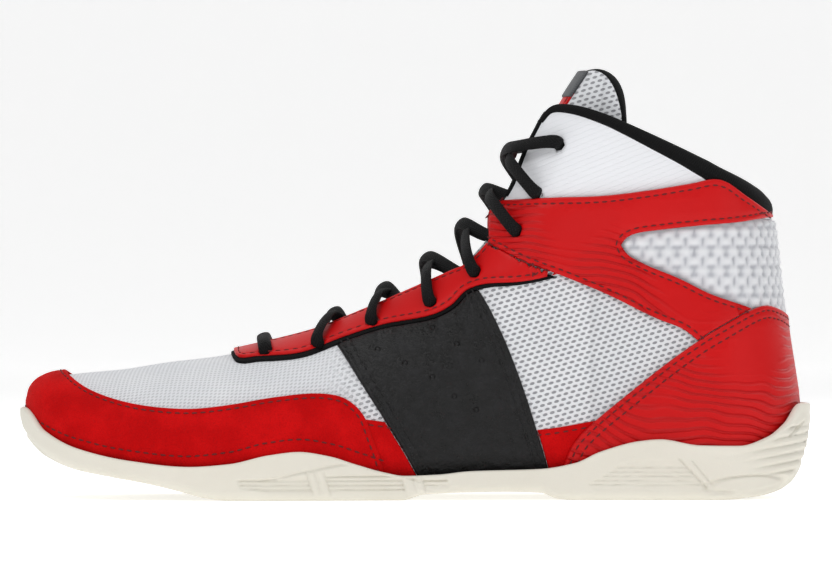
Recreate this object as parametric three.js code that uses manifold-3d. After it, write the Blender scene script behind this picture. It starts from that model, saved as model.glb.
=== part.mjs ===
// A mid-height boxing boot for the right foot, in millimetres.
// The toe points to -X, the medial side faces -Y, and the sole stands on z = 0.
// Every piece of the upper is a layer of one foot form, cut to its pattern seen from the side.
import * as THREE from "three";
import { mergeVertices } from "three/addons/utils/BufferGeometryUtils.js";
import Module from "manifold-3d";

const wasm = await Module();
wasm.setup();

// ---- Driving dimensions ----
const BOOT_LENGTH = 292; // toe to heel of the sole
const UPPER_HEIGHT = 159; // ground to the top of the tongue
const FORM_WIDTH = 94; // widest width of the foot form, at the ball
const GAP = 0.3; // clearance between pieces that touch
const MESH_THICK = 0.9; // knitted upper
const OVERLAY_THICK = 0.8; // each stitched overlay
const LINING_THICK = 0.7;
const COUNTER_THICK = 1.5; // moulded heel stiffener
const PADDING_THICK = 3.2; // ankle foam
const BOARD_THICK = 1.0; // lasting board
const SOCKLINER_THICK = 4.2;
const CUP_WALL = 2.6; // sidewall of the outsole
const RUBBER = 1.8; // least thickness of the tread
const MIDSOLE_TOE = 1.7; // foam under the toes
const MIDSOLE_HEEL = 4.6; // foam under the heel
const LACE_DIAMETER = 2.4;
const EYELET_DIAMETER = 6;
const BINDING_WIDTH = 3.4; // tape that shows below the collar edge
const TONGUE_FOAM = 3.4;

// The pattern is drawn for a boot 292 long and 159 high, and is graded to the sizes above.
const PATTERN_LENGTH = 292;
const PATTERN_HEIGHT = 159;
const PATTERN_WIDTH = 94;
const gradeX = BOOT_LENGTH / PATTERN_LENGTH;
const gradeY = FORM_WIDTH / PATTERN_WIDTH;
const gradeZ = UPPER_HEIGHT / PATTERN_HEIGHT;
const graded = (points) => points.map(([x, z]) => [x * gradeX, z * gradeZ]);

// A smooth curve through a table of [x, value], for any x between its ends.
function along(table, x) {
  const last = table.length - 1;
  if (x <= table[0][0]) return table[0][1];
  if (x >= table[last][0]) return table[last][1];
  let i = 0;
  while (x > table[i + 1][0]) i += 1;
  const slope = (k) => {
    if (k <= 0 || k >= last) return 0;
    const before = (table[k][1] - table[k - 1][1]) / (table[k][0] - table[k - 1][0]);
    const after = (table[k + 1][1] - table[k][1]) / (table[k + 1][0] - table[k][0]);
    return before * after <= 0 ? 0 : (2 * before * after) / (before + after);
  };
  const span = table[i + 1][0] - table[i][0];
  const t = (x - table[i][0]) / span;
  const rise = table[i + 1][1] - table[i][1];
  const a = slope(i) * span - rise;
  const b = rise - slope(i + 1) * span;
  return table[i][1] + t * rise + t * (1 - t) * (a * (1 - t) + b * t);
}

// ---- The foot form ----
const TOE_TIP = -141 * gradeX;
const BALL = -52 * gradeX;
const HEEL_AXIS = 107 * gradeX; // the heel is a fan of planes about this axis
const FORM_TOP = 175 * gradeZ;
const RIDGE = graded([[-141, 36], [-140, 39.5], [-137.6, 42], [-133, 43.8], [-125, 44.9], [-108, 46.5],
  [-92, 49], [-75, 51], [-59, 54], [-48, 57.3], [-37, 60.8], [-26, 65.5], [-15, 71], [-4, 77.8], [7, 86],
  [18, 96.5], [26, 107], [32, 117], [38, 129], [43.6, 141.5], [49.5, 152], [56, 162], [63, 173], [72, 190],
  [85, 220], [110, 300]]);
const FEATHER = graded([[-141, 28.5], [-137, 23.2], [-130, 18.2], [-120, 14], [-100, 10], [-80, 7.2],
  [-60, 5.8], [-40, 5.8], [0, 7], [40, 8.9], [70, 9.8], [107, 10.4], [142, 11]]);
const FOOT_WIDTH = [[-52, 47], [-25, 45], [0, 41], [30, 37.5], [60, 35.8], [107, 35.5]]
  .map(([x, w]) => [x * gradeX, w * gradeY]);
const SHAFT_WIDTH = 34 * gradeY;
const ANKLE_WIDTH = 32.5 * gradeY;
const CENTRE = [[-141, -10], [-115, -6], [-85, -1.5], [-50, 1], [0, 1.6], [50, 0.8], [107, 0]]
  .map(([x, y]) => [x * gradeX, y * gradeY]);
const BACK = graded([[10, 135.5], [20, 138], [34, 139.2], [47, 137.6], [60, 135.6], [70, 134.6],
  [82, 133.2],
  [92, 132.2], [102, 131], [112, 130], [140, 128.6], [175, 128]].map(([z, x]) => [x, z]))
  .map(([x, z]) => [z, x]);
const TOE_FULLNESS = 2.35; // 2 is an ellipse, more is squarer
const BULGE_HEIGHT = 10; // of the widest level over the feather edge
const TUCK = 0.075; // share of the width drawn in at the feather edge
const CLOSING = 58 * gradeZ; // height over which the instep rounds over to its ridge

function footWidth(x) {
  if (x >= BALL) return along(FOOT_WIDTH, x);
  const t = Math.min(1, (BALL - x) / (BALL - TOE_TIP));
  return FOOT_WIDTH[0][1] * (1 - t ** TOE_FULLNESS) ** (1 / TOE_FULLNESS);
}

function smooth(from, to, value) {
  const t = Math.min(1, Math.max(0, (value - from) / (to - from)));
  return t * t * (3 - 2 * t);
}

const widestLevel = (x) => {
  const low = along(FEATHER, x);
  return low + Math.min(BULGE_HEIGHT, 0.45 * (along(RIDGE, x) - low));
};

// Half the form's width at a place seen from the side.
function halfWidth(x, z) {
  const ankle = smooth(20 * gradeX, 62 * gradeX, x);
  const upper = THREE.MathUtils.lerp(ANKLE_WIDTH, SHAFT_WIDTH, smooth(85 * gradeZ, 115 * gradeZ, z));
  const foot = footWidth(x);
  const plain = THREE.MathUtils.lerp(foot, upper, ankle * smooth(30 * gradeZ, 78 * gradeZ, z));
  const widest = widestLevel(x);
  const ridge = along(RIDGE, x);
  const closing = Math.min(CLOSING, ridge - widest);
  const open = Math.min(1, Math.max(0, (ridge - z) / closing));
  const low = along(FEATHER, x);
  const tuck = z < widest ? TUCK * ((widest - z) / (widest - low)) ** 2 : 0;
  return plain * Math.sqrt(Math.max(0, 1 - (1 - open) ** 2)) * (1 - Math.min(tuck, TUCK));
}

// A point of the form. Stations 0..1 run from the toe tip to the heel axis, 1..2 round the heel.
function formPoint(side, station, z) {
  if (station <= 1) {
    const x = station < 0.35
      ? TOE_TIP + (BALL - TOE_TIP) * (1 - Math.cos((station / 0.35) * Math.PI / 2))
      : BALL + ((HEEL_AXIS - BALL) * (station - 0.35)) / 0.65;
    return new THREE.Vector3(x, along(CENTRE, x) + side * halfWidth(x, z), z);
  }
  const turn = ((station - 1) * Math.PI) / 2;
  const reach = along(BACK, z) - HEEL_AXIS;
  return new THREE.Vector3(
    HEEL_AXIS + reach * Math.sin(turn), side * halfWidth(HEEL_AXIS, z) * Math.cos(turn), z);
}

const stationX = (station) => formPoint(1, Math.min(station, 1), 0).x;
const TOE_STEPS = 7;
const FOOT_STEPS = 9;
const HEEL_STEPS = 4;
const RISE_STEPS = 6;
const STATIONS = [
  ...Array.from({ length: TOE_STEPS }, (_, i) => (0.35 * i) / TOE_STEPS),
  ...Array.from({ length: FOOT_STEPS }, (_, i) => 0.35 + (0.65 * i) / FOOT_STEPS),
  ...Array.from({ length: HEEL_STEPS + 1 }, (_, i) => 1 + i / HEEL_STEPS),
];

// Heights of one station's ring, from its foot to the ridge or the form's flat top.
function ringHeights(station, lift) {
  const x = stationX(station);
  const low = along(FEATHER, x) + Math.max(0, lift);
  const widest = Math.max(widestLevel(x), low + 1);
  const top = Math.min(along(RIDGE, x), FORM_TOP);
  const rise = Array.from({ length: RISE_STEPS + 1 },
    (_, j) => widest + (top - widest) * Math.sin((j / RISE_STEPS) * Math.PI / 2));
  return [low, (low + widest) / 2, ...rise];
}

// The form's outward normal, by differences along the station and the height.
function formNormal(side, station, z, atRidge) {
  const step = 1e-3;
  const end = station >= 2 || station <= 0;
  if (end) return new THREE.Vector3(station <= 0 ? -1 : 1, 0, 0);
  const a = formPoint(side, Math.max(0, station - step), z);
  const b = formPoint(side, Math.min(2, station + step), z);
  const x = stationX(station);
  const top = Math.min(along(RIDGE, x), FORM_TOP) - 0.02;
  const level = Math.min(z, top);
  const c = formPoint(side, station, level - 0.3);
  const d = formPoint(side, station, level);
  const n = new THREE.Vector3().crossVectors(b.sub(a), d.sub(c));
  if (atRidge) {
    const rise = along(RIDGE, x + 0.5) - along(RIDGE, x - 0.5);
    n.set(-rise, 0, 1);
  } else if (n.y * side < 0) n.negate();
  return n.normalize();
}

function solidFrom(positions, indices) {
  const raw = new THREE.BufferGeometry()
    .setAttribute("position", new THREE.Float32BufferAttribute(positions, 3))
    .setIndex(indices);
  const merged = mergeVertices(raw, 1e-3);
  const index = [];
  for (let i = 0; i < merged.index.count; i += 3) {
    const t = [0, 1, 2].map((k) => merged.index.getX(i + k));
    if (new Set(t).size === 3) index.push(...t);
  }
  const build = () => new wasm.Manifold(new wasm.Mesh({
    numProp: 3,
    vertProperties: new Float32Array(merged.attributes.position.array),
    triVerts: new Uint32Array(index),
  }));
  const made = build();
  if (made.volume() > 0) return made;
  index.reverse();
  return build();
}

// A tube through rings of the same number of points. Its end rings collapse to a line, or take flat caps.
function ringsToSolid(rings, capped = false) {
  const count = rings[0].length;
  const positions = rings.flat().flatMap((p) => [p.x, p.y, p.z]);
  const indices = [];
  for (let i = 0; i + 1 < rings.length; i += 1)
    for (let j = 0; j < count; j += 1) {
      const [a, b] = [i * count + j, i * count + ((j + 1) % count)];
      indices.push(a, b, b + count, a, b + count, a + count);
    }
  const end = (rings.length - 1) * count;
  for (let j = 1; capped && j + 1 < count; j += 1)
    indices.push(0, j + 1, j, end, end + j, end + j + 1);
  return solidFrom(positions, indices);
}

// The whole form grown by an offset. Its foot is lifted from the feather edge, or goes straight down.
function form(offset, foot = () => 0) {
  const rings = STATIONS.map((station) => {
    const lift = foot(stationX(station));
    const heights = ringHeights(station, lift);
    const sideRing = (side) => {
      const ring = heights.map((z, j) => {
        const x = stationX(station);
        const closed = j === heights.length - 1 && along(RIDGE, x) <= FORM_TOP;
        const p = formPoint(side, station, z);
        const n = formNormal(side, station, z, closed);
        if (j === 0) n.setZ(0).normalize();
        p.addScaledVector(n, offset);
        if (closed || station <= 0 || station >= 2) p.y = along(CENTRE, x);
        return p;
      });
      if (lift >= 0) return ring;
      const low = ring[0].clone();
      low.z += lift;
      return [low, ...ring];
    };
    const near = sideRing(-1);
    const far = sideRing(1);
    return [...near, ...far.reverse()];
  });
  return ringsToSolid(rings);
}

// A plate that fills the form between two heights over the feather edge.
function plate(offset, low, high) {
  return ringsToSolid(STATIONS.map((station) => {
    const x = stationX(station);
    const corner = (side, lift) => {
      const z = along(FEATHER, x);
      const n = formNormal(side, station, z, false).setZ(0).normalize();
      const p = formPoint(side, station, z).addScaledVector(n, offset);
      if (station <= 0 || station >= 2) p.y = along(CENTRE, x);
      return p.setZ(z + lift(x));
    };
    return [corner(-1, low), corner(-1, high), corner(1, high), corner(1, low)];
  }));
}

const layer = (inner, outer, lift = 0) => form(outer, () => lift).subtract(form(inner, () => lift - 20));

// ---- Cutting patterns, seen from the side ----
function curve(points, steps = 3) {
  const path = new THREE.CatmullRomCurve3(
    graded(points).map(([x, z]) => new THREE.Vector3(x, 0, z)), false, "centripetal");
  return path.getPoints(steps * (points.length - 1)).map((p) => [p.x, p.z]);
}

const REACH = 90 * gradeY; // half the width that a pattern cuts through
// A slab with an outline in x and z, through one side or both.
function slab(outline, side = 0) {
  const shape = new THREE.Shape(outline.map(([x, z]) => new THREE.Vector2(x, z)));
  const geometry = new THREE.ExtrudeGeometry(shape, {
    depth: side ? REACH : 2 * REACH, bevelEnabled: false, steps: 1 });
  geometry.deleteAttribute("normal");
  geometry.deleteAttribute("uv");
  geometry.rotateX(Math.PI / 2);
  geometry.translate(0, side > 0 || !side ? REACH : 0, 0);
  return solidFrom([...geometry.attributes.position.array],
    Array.from({ length: geometry.attributes.position.count }, (_, i) => i));
}

// An outline grown by a distance, whichever way round it runs.
function grown(outline, distance) {
  const area = outline.reduce((sum, [x, z], i) => {
    const [u, w] = outline[(i + 1) % outline.length];
    return sum + x * w - u * z;
  }, 0);
  const turn = Math.sign(area);
  return outline.map(([x, z], i) => {
    const [px, pz] = outline[(i + outline.length - 1) % outline.length];
    const [nx, nz] = outline[(i + 1) % outline.length];
    const [dx, dz] = [nx - px, nz - pz];
    const length = Math.hypot(dx, dz) || 1;
    return [x + (turn * dz * distance) / length, z - (turn * dx * distance) / length];
  });
}

// An open line moved sideways, to the right of its direction.
function shifted(line, distance) {
  return line.map(([x, z], i) => {
    const [px, pz] = line[Math.max(0, i - 1)];
    const [nx, nz] = line[Math.min(line.length - 1, i + 1)];
    const length = Math.hypot(nx - px, nz - pz);
    return [x + ((nz - pz) * distance) / length, z - ((nx - px) * distance) / length];
  });
}

const FAR = 170 * gradeX; // past both ends of the form
const SKY = 190 * gradeZ; // over the form's top

const COLLAR = curve([[140, 104], [131, 108.5], [126.5, 112], [121, 115], [110, 120], [95, 127.5],
  [78, 135.5], [68, 139.8], [58, 142.8], [50.8, 142.9], [46.8, 138.6]], 1);
const THROAT = curve([[46.8, 138.6], [41.2, 127.3], [36.5, 115], [32.6, 108.5]], 1);
const STRAP_NOSE = curve([[32.6, 108.5], [28, 103.2], [24.1, 95.8]], 1);
const THROAT_END = graded([[20, 100], [-170, 100]]);
// Over the instep the throat is cut from above instead: half its width against x.
const THROAT_WIDTH = [[-54, 0], [-53, 4.5], [-50, 7.2], [-44, 9], [-36, 10], [-20, 11.5], [-8, 14], [4, 18],
  [14, 22], [21, 25], [29, 26]].map(([x, w]) => [x * gradeX, w * gradeY]);

function throatPrism() {
  const shape = new THREE.Shape([
    ...THROAT_WIDTH.map(([x, w]) => new THREE.Vector2(x, along(CENTRE, x) - w)),
    ...THROAT_WIDTH.slice(1).reverse().map(([x, w]) => new THREE.Vector2(x, along(CENTRE, x) + w)),
  ]);
  const geometry = new THREE.ExtrudeGeometry(shape, { depth: SKY, bevelEnabled: false, steps: 1 });
  geometry.deleteAttribute("normal");
  geometry.deleteAttribute("uv");
  return solidFrom([...geometry.attributes.position.array],
    Array.from({ length: geometry.attributes.position.count }, (_, i) => i));
}

// The whole side of the boot, with the throat and the collar opening left out.
const sideSlab = slab([
  [-FAR, -FAR], [FAR, -FAR], [FAR, COLLAR[0][1]],
  ...COLLAR, ...THROAT.slice(1), ...STRAP_NOSE.slice(1), ...THROAT_END,
]).subtract(throatPrism());

const EYESTAY_LOWER = curve([[-68, 53.6], [-65, 50], [-58, 50.5], [-42, 52], [-27, 57.5], [-12, 62.5],
  [7, 66.7], [14, 70.5], [19, 75.5], [25, 78], [38, 79.5], [58, 84]], 1);
const STRAP_LOWER = curve([[24.1, 95.8], [26, 94], [31, 91.2], [41, 86.3], [53, 82], [70, 75], [87, 66.5],
  [98, 62], [103.5, 57.6]], 1);
const STRAP_TOP = curve([[30.7, 108.4], [53, 110.4], [70, 111.3], [87, 113.4], [100, 115.5],
  [110.7, 117]], 1);
const WINDOW = curve([[150, 104.2], [128, 103.2], [117, 101.6], [104, 100.4], [91, 99], [79, 97], [75, 94],
  [76.5, 90.5], [84, 86], [96, 81], [108, 75], [119.5, 70.6], [150, 58]], 1);
const HEEL_EDGE = curve([[150, 56], [139, 63.6], [133, 68.6], [127, 70.8], [122, 69.4], [113, 64.2],
  [95.6, 52.6], [78, 39], [63, 26.6], [57, 19.9], [52, 8]], 1);
const GUARD_EDGE = curve([[-140, 57], [-132, 47.4], [-122.8, 40.2], [-113.7, 36.3], [-100.9, 33.3],
  [-82.6, 32], [-68, 33.4], [-51.5, 36.2], [-35.1, 37.8], [-26, 36.3], [-19.7, 31], [-16, 22],
    [-12.6, 12.6],
  [-12, 2]], 1);
const FOXING_TOP = curve([[-26, 30], [-13.3, 28.6], [-3, 26.8], [17, 24.6], [30.3, 24.7], [48.5, 26],
  [66, 29]], 1);
const SADDLE = [
  ...curve([[-33, 60.5], [-20, 65], [-4, 69], [10, 73.5], [21, 80]], 1),
  ...curve([[27, 70], [38, 44], [50, 6]], 1),
  ...curve([[4, 3], [-6, 20], [-20, 42], [-29, 56]], 1),
];

const mesh = new THREE.Group();
const LEATHER_RED = 0xd4181c;
const BLACK = 0x141416;
const WHITE = 0xe9eaee;
const CREAM = 0xdcd8c8;

function add(name, solid, color, roughness = 0.8) {
  const { numProp, vertProperties, triVerts } = solid.getMesh();
  const positions = [];
  for (let i = 0; i < vertProperties.length; i += numProp)
    positions.push(vertProperties[i], vertProperties[i + 1], vertProperties[i + 2]);
  const geometry = new THREE.BufferGeometry()
    .setAttribute("position", new THREE.Float32BufferAttribute(positions, 3))
    .setIndex([...triVerts]);
  const material = new THREE.MeshStandardMaterial({ color, roughness, metalness: 0 });
  const node = new THREE.Mesh(geometry, material);
  node.name = name;
  node.position.y = -sideShift;
  mesh.add(node);
}

// Keeps the largest piece where a cut leaves slivers.
function largest(solid) {
  const parts = solid.decompose();
  return parts.reduce((best, part) => (part.volume() > best.volume() ? part : best));
}

// ---- Layers, as offsets from the form ----
const SKIN = MESH_THICK;
const FIRST = SKIN + GAP;
const FIRST_TOP = FIRST + OVERLAY_THICK;
const SECOND = FIRST_TOP + GAP;
const SECOND_TOP = SECOND + OVERLAY_THICK;
const CUP = SECOND_TOP + GAP;
const LINING = -GAP;
const LINING_IN = LINING - LINING_THICK;
const COUNTER_IN = -GAP - COUNTER_THICK;
const PADDING = COUNTER_IN - GAP;
const PADDING_IN = PADDING - PADDING_THICK;
const COLLAR_LINING = PADDING_IN - GAP;
const COLLAR_LINING_IN = COLLAR_LINING - LINING_THICK;
const LACE_SLOT = LACE_DIAMETER + 3.9; // between lining and tongue
const TONGUE = LINING_IN - LACE_SLOT;

// ---- Outsole: a cup with a tread of ribs and two raised pads ----
const SOLE_TOE = -BOOT_LENGTH / 2;
const SOLE_HEEL = BOOT_LENGTH / 2;
const SOLE_BOTTOM = [[-146, 28], [-144.6, 24.5], [-141, 20.4], [-135.6, 16], [-124.6, 11.3], [-113.7, 9],
  [-97.2, 6], [-86.3, 3.4], [-76, 0.8], [-68, 0], [-5, 0], [3, 2], [18, 2.8], [34, 3], [46, 2.6],
    [51, 0.6], [57, 0],
  [112, 0], [124, 1], [132, 2.8], [138, 6.2], [142, 11.5], [144.8, 19], [146, 26]];
const SOLE_EDGE = [[145.6, 31.5], [142.8, 35], [137, 28.3], [129.4, 22.9], [118.4, 19.8], [103.8, 20],
  [89.2, 22.2], [81.9, 21.6], [67.3, 17.7], [58.1, 13.6], [45.3, 11.4], [19.7, 10.6], [8, 9.4], [-4, 9],
  [-11, 10.2], [-22.3, 13.4], [-31.4, 16.2], [-42.4, 17.8], [-53.4, 16.6], [-68, 13.4], [-82.6, 12.4],
  [-104.5, 14.6], [-124.6, 19.2], [-137.4, 25.6], [-145.4, 33.6]];
const bottomTable = graded(SOLE_BOTTOM);
const SOLE_FLARE = CUP + CUP_WALL;
const BOTTOM_ROUND = 3.2; // round of the sole's lower edge

function soleWidth(x) {
  if (x < BALL) {
    const t = Math.min(1, (BALL - x) / (BALL - SOLE_TOE));
    return (footWidth(BALL) + SOLE_FLARE) * (1 - t ** TOE_FULLNESS) ** (1 / TOE_FULLNESS);
  }
  if (x <= HEEL_AXIS) return footWidth(x) + SOLE_FLARE;
  const t = Math.min(1, (x - HEEL_AXIS) / (SOLE_HEEL - HEEL_AXIS));
  return (footWidth(HEEL_AXIS) + SOLE_FLARE) * Math.sqrt(1 - t * t);
}

const soleXs = [
  ...Array.from({ length: 9 }, (_, i) =>
    SOLE_TOE + (BALL - SOLE_TOE) * (1 - Math.cos((i / 9) * Math.PI / 2))),
  ...Array.from({ length: 9 }, (_, i) => BALL + ((HEEL_AXIS - BALL) * i) / 9),
  ...Array.from({ length: 7 }, (_, i) =>
    HEEL_AXIS + (SOLE_HEEL - HEEL_AXIS) * Math.sin((i / 6) * Math.PI / 2)),
];
const sideReach = soleXs.map((x) => [along(CENTRE, x) - soleWidth(x), along(CENTRE, x) + soleWidth(x)]);
const sideShift = (Math.min(...sideReach.map((r) => r[0])) + Math.max(...sideReach.map((r) => r[1]))) / 2;

const CUP_TOP = 40 * gradeZ;
const soleBlock = ringsToSolid(soleXs.map((x) => {
  const w = soleWidth(x);
  const c = along(CENTRE, x);
  const low = along(bottomTable, x);
  const round = Math.min(BOTTOM_ROUND, w);
  const section = [[1, CUP_TOP, 0], [1, low + round, 0], [1, low + round * 0.3, 0.3 * round],
    [1, low, round]];
  const near = section.map(([, z, inset]) => new THREE.Vector3(x, c - Math.max(0, w - inset), z));
  const far = section.map(([, z, inset]) => new THREE.Vector3(x, c + Math.max(0, w - inset), z));
  return [...near, ...far.reverse()];
}));

const midsoleThick = (x) => MIDSOLE_TOE + (MIDSOLE_HEEL - MIDSOLE_TOE) * smooth(0, 80 * gradeX, x);

const soleOutline = [...bottomTable.slice(1, -1).map(([x, z]) => [x * 1.001, z]), ...graded(SOLE_EDGE)];
soleOutline.unshift([SOLE_TOE - 1, 27 * gradeZ]);
const edgeStart = bottomTable.length - 1;
soleOutline.splice(edgeStart, 0, [SOLE_HEEL + 1, 27 * gradeZ]);
const aboveTread = (rubber) => slab([...shifted(bottomTable, -rubber), [FAR, 60], [FAR, SKY], [-FAR, SKY],
  [-FAR, 60]]);
const cavity = form(CUP, (x) => -midsoleThick(x) - 2 * GAP).intersect(aboveTread(RUBBER));
let outsole = soleBlock.intersect(slab(soleOutline)).subtract(cavity);

// Grooves across the two tread pads.
const GROOVE_DEPTH = 1.0;
const GROOVE_WIDTH = 2.6;
const FOREFOOT_GROOVES = [-66, -10, 5];
const HEEL_GROOVES = [62, 108, 4];
for (const [from, to, count] of [FOREFOOT_GROOVES, HEEL_GROOVES])
  for (let i = 0; i < count; i += 1) {
    const x = (from + ((to - from) * i) / (count - 1)) * gradeX;
    outsole = outsole.subtract(slab([[x, -1], [x + GROOVE_WIDTH, -1], [x + GROOVE_WIDTH, GROOVE_DEPTH],
      [x, GROOVE_DEPTH]]));
  }
add("outsole", largest(outsole), CREAM, 0.7);

// ---- Midsole, lasting board and sockliner ----
const INSIDE = COUNTER_IN - GAP;
const SOCKLINER_BASE = BOARD_THICK + GAP;
const SOCKLINER_TOP = SOCKLINER_BASE + SOCKLINER_THICK;
const midsole = plate(CUP - GAP, (x) => -midsoleThick(x) - GAP, () => -GAP);
add("midsole_foam", largest(midsole.intersect(aboveTread(RUBBER + GAP))), 0xf2f2f2);
add("lasting_board", plate(INSIDE, () => 0, () => BOARD_THICK), 0xcfc7b0);
add("sockliner", plate(INSIDE, () => SOCKLINER_BASE, () => SOCKLINER_TOP), 0x2a2a2c);

// ---- Eyelets: holes square to the form through every layer they meet ----
const EYELETS_SEEN = graded([[-55.2, 54.6], [-36, 57.6], [-16.1, 65.6], [5.3, 72.6], [21.5, 83.6],
  [36.6, 98.6],
  [43.6, 112.6], [51.8, 130.4]]); // where each hole opens on the outermost layer

// The form's surface at a place seen from the side, with its normal.
function surfaceAt(side, x, z, offset = 0) {
  const y = (u, w) => halfWidth(u, w);
  const step = 0.2;
  const slopeX = (y(x + step, z) - y(x - step, z)) / (2 * step);
  const slopeZ = (y(x, z + step) - y(x, z - step)) / (2 * step);
  const normal = new THREE.Vector3(-slopeX, side, -slopeZ).normalize();
  const point = new THREE.Vector3(x, along(CENTRE, x) + side * y(x, z), z);
  return { point: point.addScaledVector(normal, offset), normal };
}

// The places on the form itself that lie square below those openings.
const EYELETS = EYELETS_SEEN.map(([seenX, seenZ]) => {
  let [x, z] = [seenX, seenZ - SECOND_TOP];
  for (let i = 0; i < 8; i += 1) {
    const { point } = surfaceAt(1, x, z, SECOND_TOP);
    x += 0.7 * (seenX - point.x);
    z += 0.7 * (seenZ - point.z);
  }
  return [x, z];
});

const HOLE_SIDES = 6;
const holes = [-1, 1].flatMap((side) => EYELETS.map(([x, z]) => {
  const { point, normal } = surfaceAt(side, x, z);
  const depth = SECOND_TOP - LINING_IN + 6;
  const tool = new THREE.CylinderGeometry(EYELET_DIAMETER / 2, EYELET_DIAMETER / 2, depth, HOLE_SIDES);
  tool.deleteAttribute("normal");
  tool.deleteAttribute("uv");
  tool.applyQuaternion(new THREE.Quaternion().setFromUnitVectors(new THREE.Vector3(0, 1, 0), normal));
  tool.translate(...point.addScaledVector(normal, (SECOND_TOP + LINING_IN) / 2).toArray());
  return solidFrom([...tool.attributes.position.array], [...tool.index.array]);
}));
const punched = (solid) => holes.reduce((left, hole) => left.subtract(hole), solid);

// ---- Patterns of the overlays ----
const heelRegion = [...HEEL_EDGE, [52 * gradeX, -20], [FAR, -20], [FAR, HEEL_EDGE[0][1]]];
const strapRegion = [...STRAP_TOP, ...curve([[110.7, 117], [120, 111], [131, 104.4],
  [150, 102]], 1).slice(1),
  [FAR, 102 * gradeZ], [FAR, -20], [52 * gradeX, -20], [70 * gradeX, 50 * gradeZ],
  ...STRAP_LOWER.slice().reverse(), ...STRAP_NOSE.slice(0, -1).reverse(), ...graded([[31.6, 107.6]])];
const guardRegion = [...GUARD_EDGE, [-FAR, -20], [-FAR, 57 * gradeZ]];
const eyestayRegion = [...EYESTAY_LOWER, ...graded([[44, 85], [33, 90.6], [25.5, 93.5], [18, 110],
  [-75, 110]])];
const underHeel = slab(grown(heelRegion, GAP));
const strapCut = slab(grown([...STRAP_LOWER, ...graded([[150, 57], [150, 150], [30, 150]]),
  ...STRAP_NOSE.slice(0, -1)], GAP));

// ---- Base layer of the upper: forefoot knit, collar panels and padded heel knit ----
const KNIT_SPLIT = curve([[18, 110], [34, 98], [50, 93], [68, 88], [84, 78], [98, 66], [112, 40],
  [118, -10]], 1);
const knitRegion = [...KNIT_SPLIT, [-FAR, -10], [-FAR, 110 * gradeZ]];
const PANEL_SPLIT = curve([[25, 104.5], [53, 106.5], [87, 109.4], [108, 113], [118, 110], [124, 104],
  [150, 101]], 1);
const skin = layer(0, SKIN).intersect(sideSlab);
add("forefoot_knit", largest(punched(skin.intersect(slab(knitRegion)))), WHITE);
const overSplit = slab([...PANEL_SPLIT, [FAR, SKY], [0, SKY]]);
const notKnit = skin.subtract(slab(grown(knitRegion, GAP)));
add("heel_knit", largest(punched(notKnit.subtract(slab(grown([...PANEL_SPLIT, [FAR, SKY],
  [0, SKY]], GAP))))), WHITE);
const BACK_SEAM = 124 * gradeX;
const panels = notKnit.intersect(overSplit);
for (const [name, side] of [["medial", -1], ["lateral", 1]]) {
  const half = slab([[0, 0], [BACK_SEAM, 0], [BACK_SEAM, SKY], [0, SKY]], side);
  add(`collar_panel_${name}`, largest(punched(panels.intersect(half))), WHITE);
}

// ---- Overlays ----
const BACKING_SHOWS = 0.9; // of the black tape below the red eyestay
const BACKING_UNDER = 3;
const first = layer(FIRST, FIRST_TOP);
const second = layer(SECOND, SECOND_TOP);
add("toe_guard", largest(second.intersect(slab(guardRegion)).intersect(sideSlab)), LEATHER_RED);
const eyestay = second.intersect(slab(eyestayRegion)).intersect(sideSlab).subtract(strapCut);
add("eyestay", largest(punched(eyestay)), LEATHER_RED, 0.5);
const backingPattern = [...shifted(EYESTAY_LOWER, BACKING_SHOWS),
  ...shifted(EYESTAY_LOWER, -BACKING_UNDER).reverse()];
const backing = first.intersect(slab(backingPattern)).intersect(sideSlab).subtract(strapCut);
add("eyestay_backing", largest(punched(backing)), BLACK);
const strapBody = second.intersect(slab(strapRegion)).intersect(sideSlab)
  .subtract(slab(WINDOW)).subtract(underHeel);
const heelCap = second.intersect(slab(heelRegion)).intersect(sideSlab);
add("heel_cap", largest(heelCap), LEATHER_RED, 0.5);
const foxingRegion = [...FOXING_TOP, [66 * gradeX, -20], [-26 * gradeX, -20]];
const backingRegion = slab(grown(eyestayRegion, 0.9 + GAP));
const saddleCut = slab(grown(SADDLE, GAP));
for (const [name, side] of [["medial", -1], ["lateral", 1]]) {
  const half = slab([[0, -30], [BACK_SEAM, -30], [BACK_SEAM, SKY], [0, SKY]], side);
  const wholeSide = slab([[-FAR, -30], [FAR, -30], [FAR, SKY], [-FAR, SKY]], side);
  add(`ankle_strap_${name}`, largest(punched(strapBody.intersect(half))), LEATHER_RED, 0.5);
  add(`saddle_${name}`, largest(first.intersect(slab(SADDLE)).intersect(sideSlab).intersect(wholeSide)
    .subtract(backingRegion)), BLACK, 0.35);
  for (const [place, from, to] of [["front", -60, 0], ["rear", 20, 90]])
    add(`foxing_${place}_${name}`, largest(first.intersect(slab(foxingRegion)).intersect(sideSlab)
      .intersect(wholeSide).subtract(saddleCut)
      .intersect(slab(graded([[from, -20], [to, -20], [to, 60], [from, 60]])))), LEATHER_RED);
}

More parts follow.
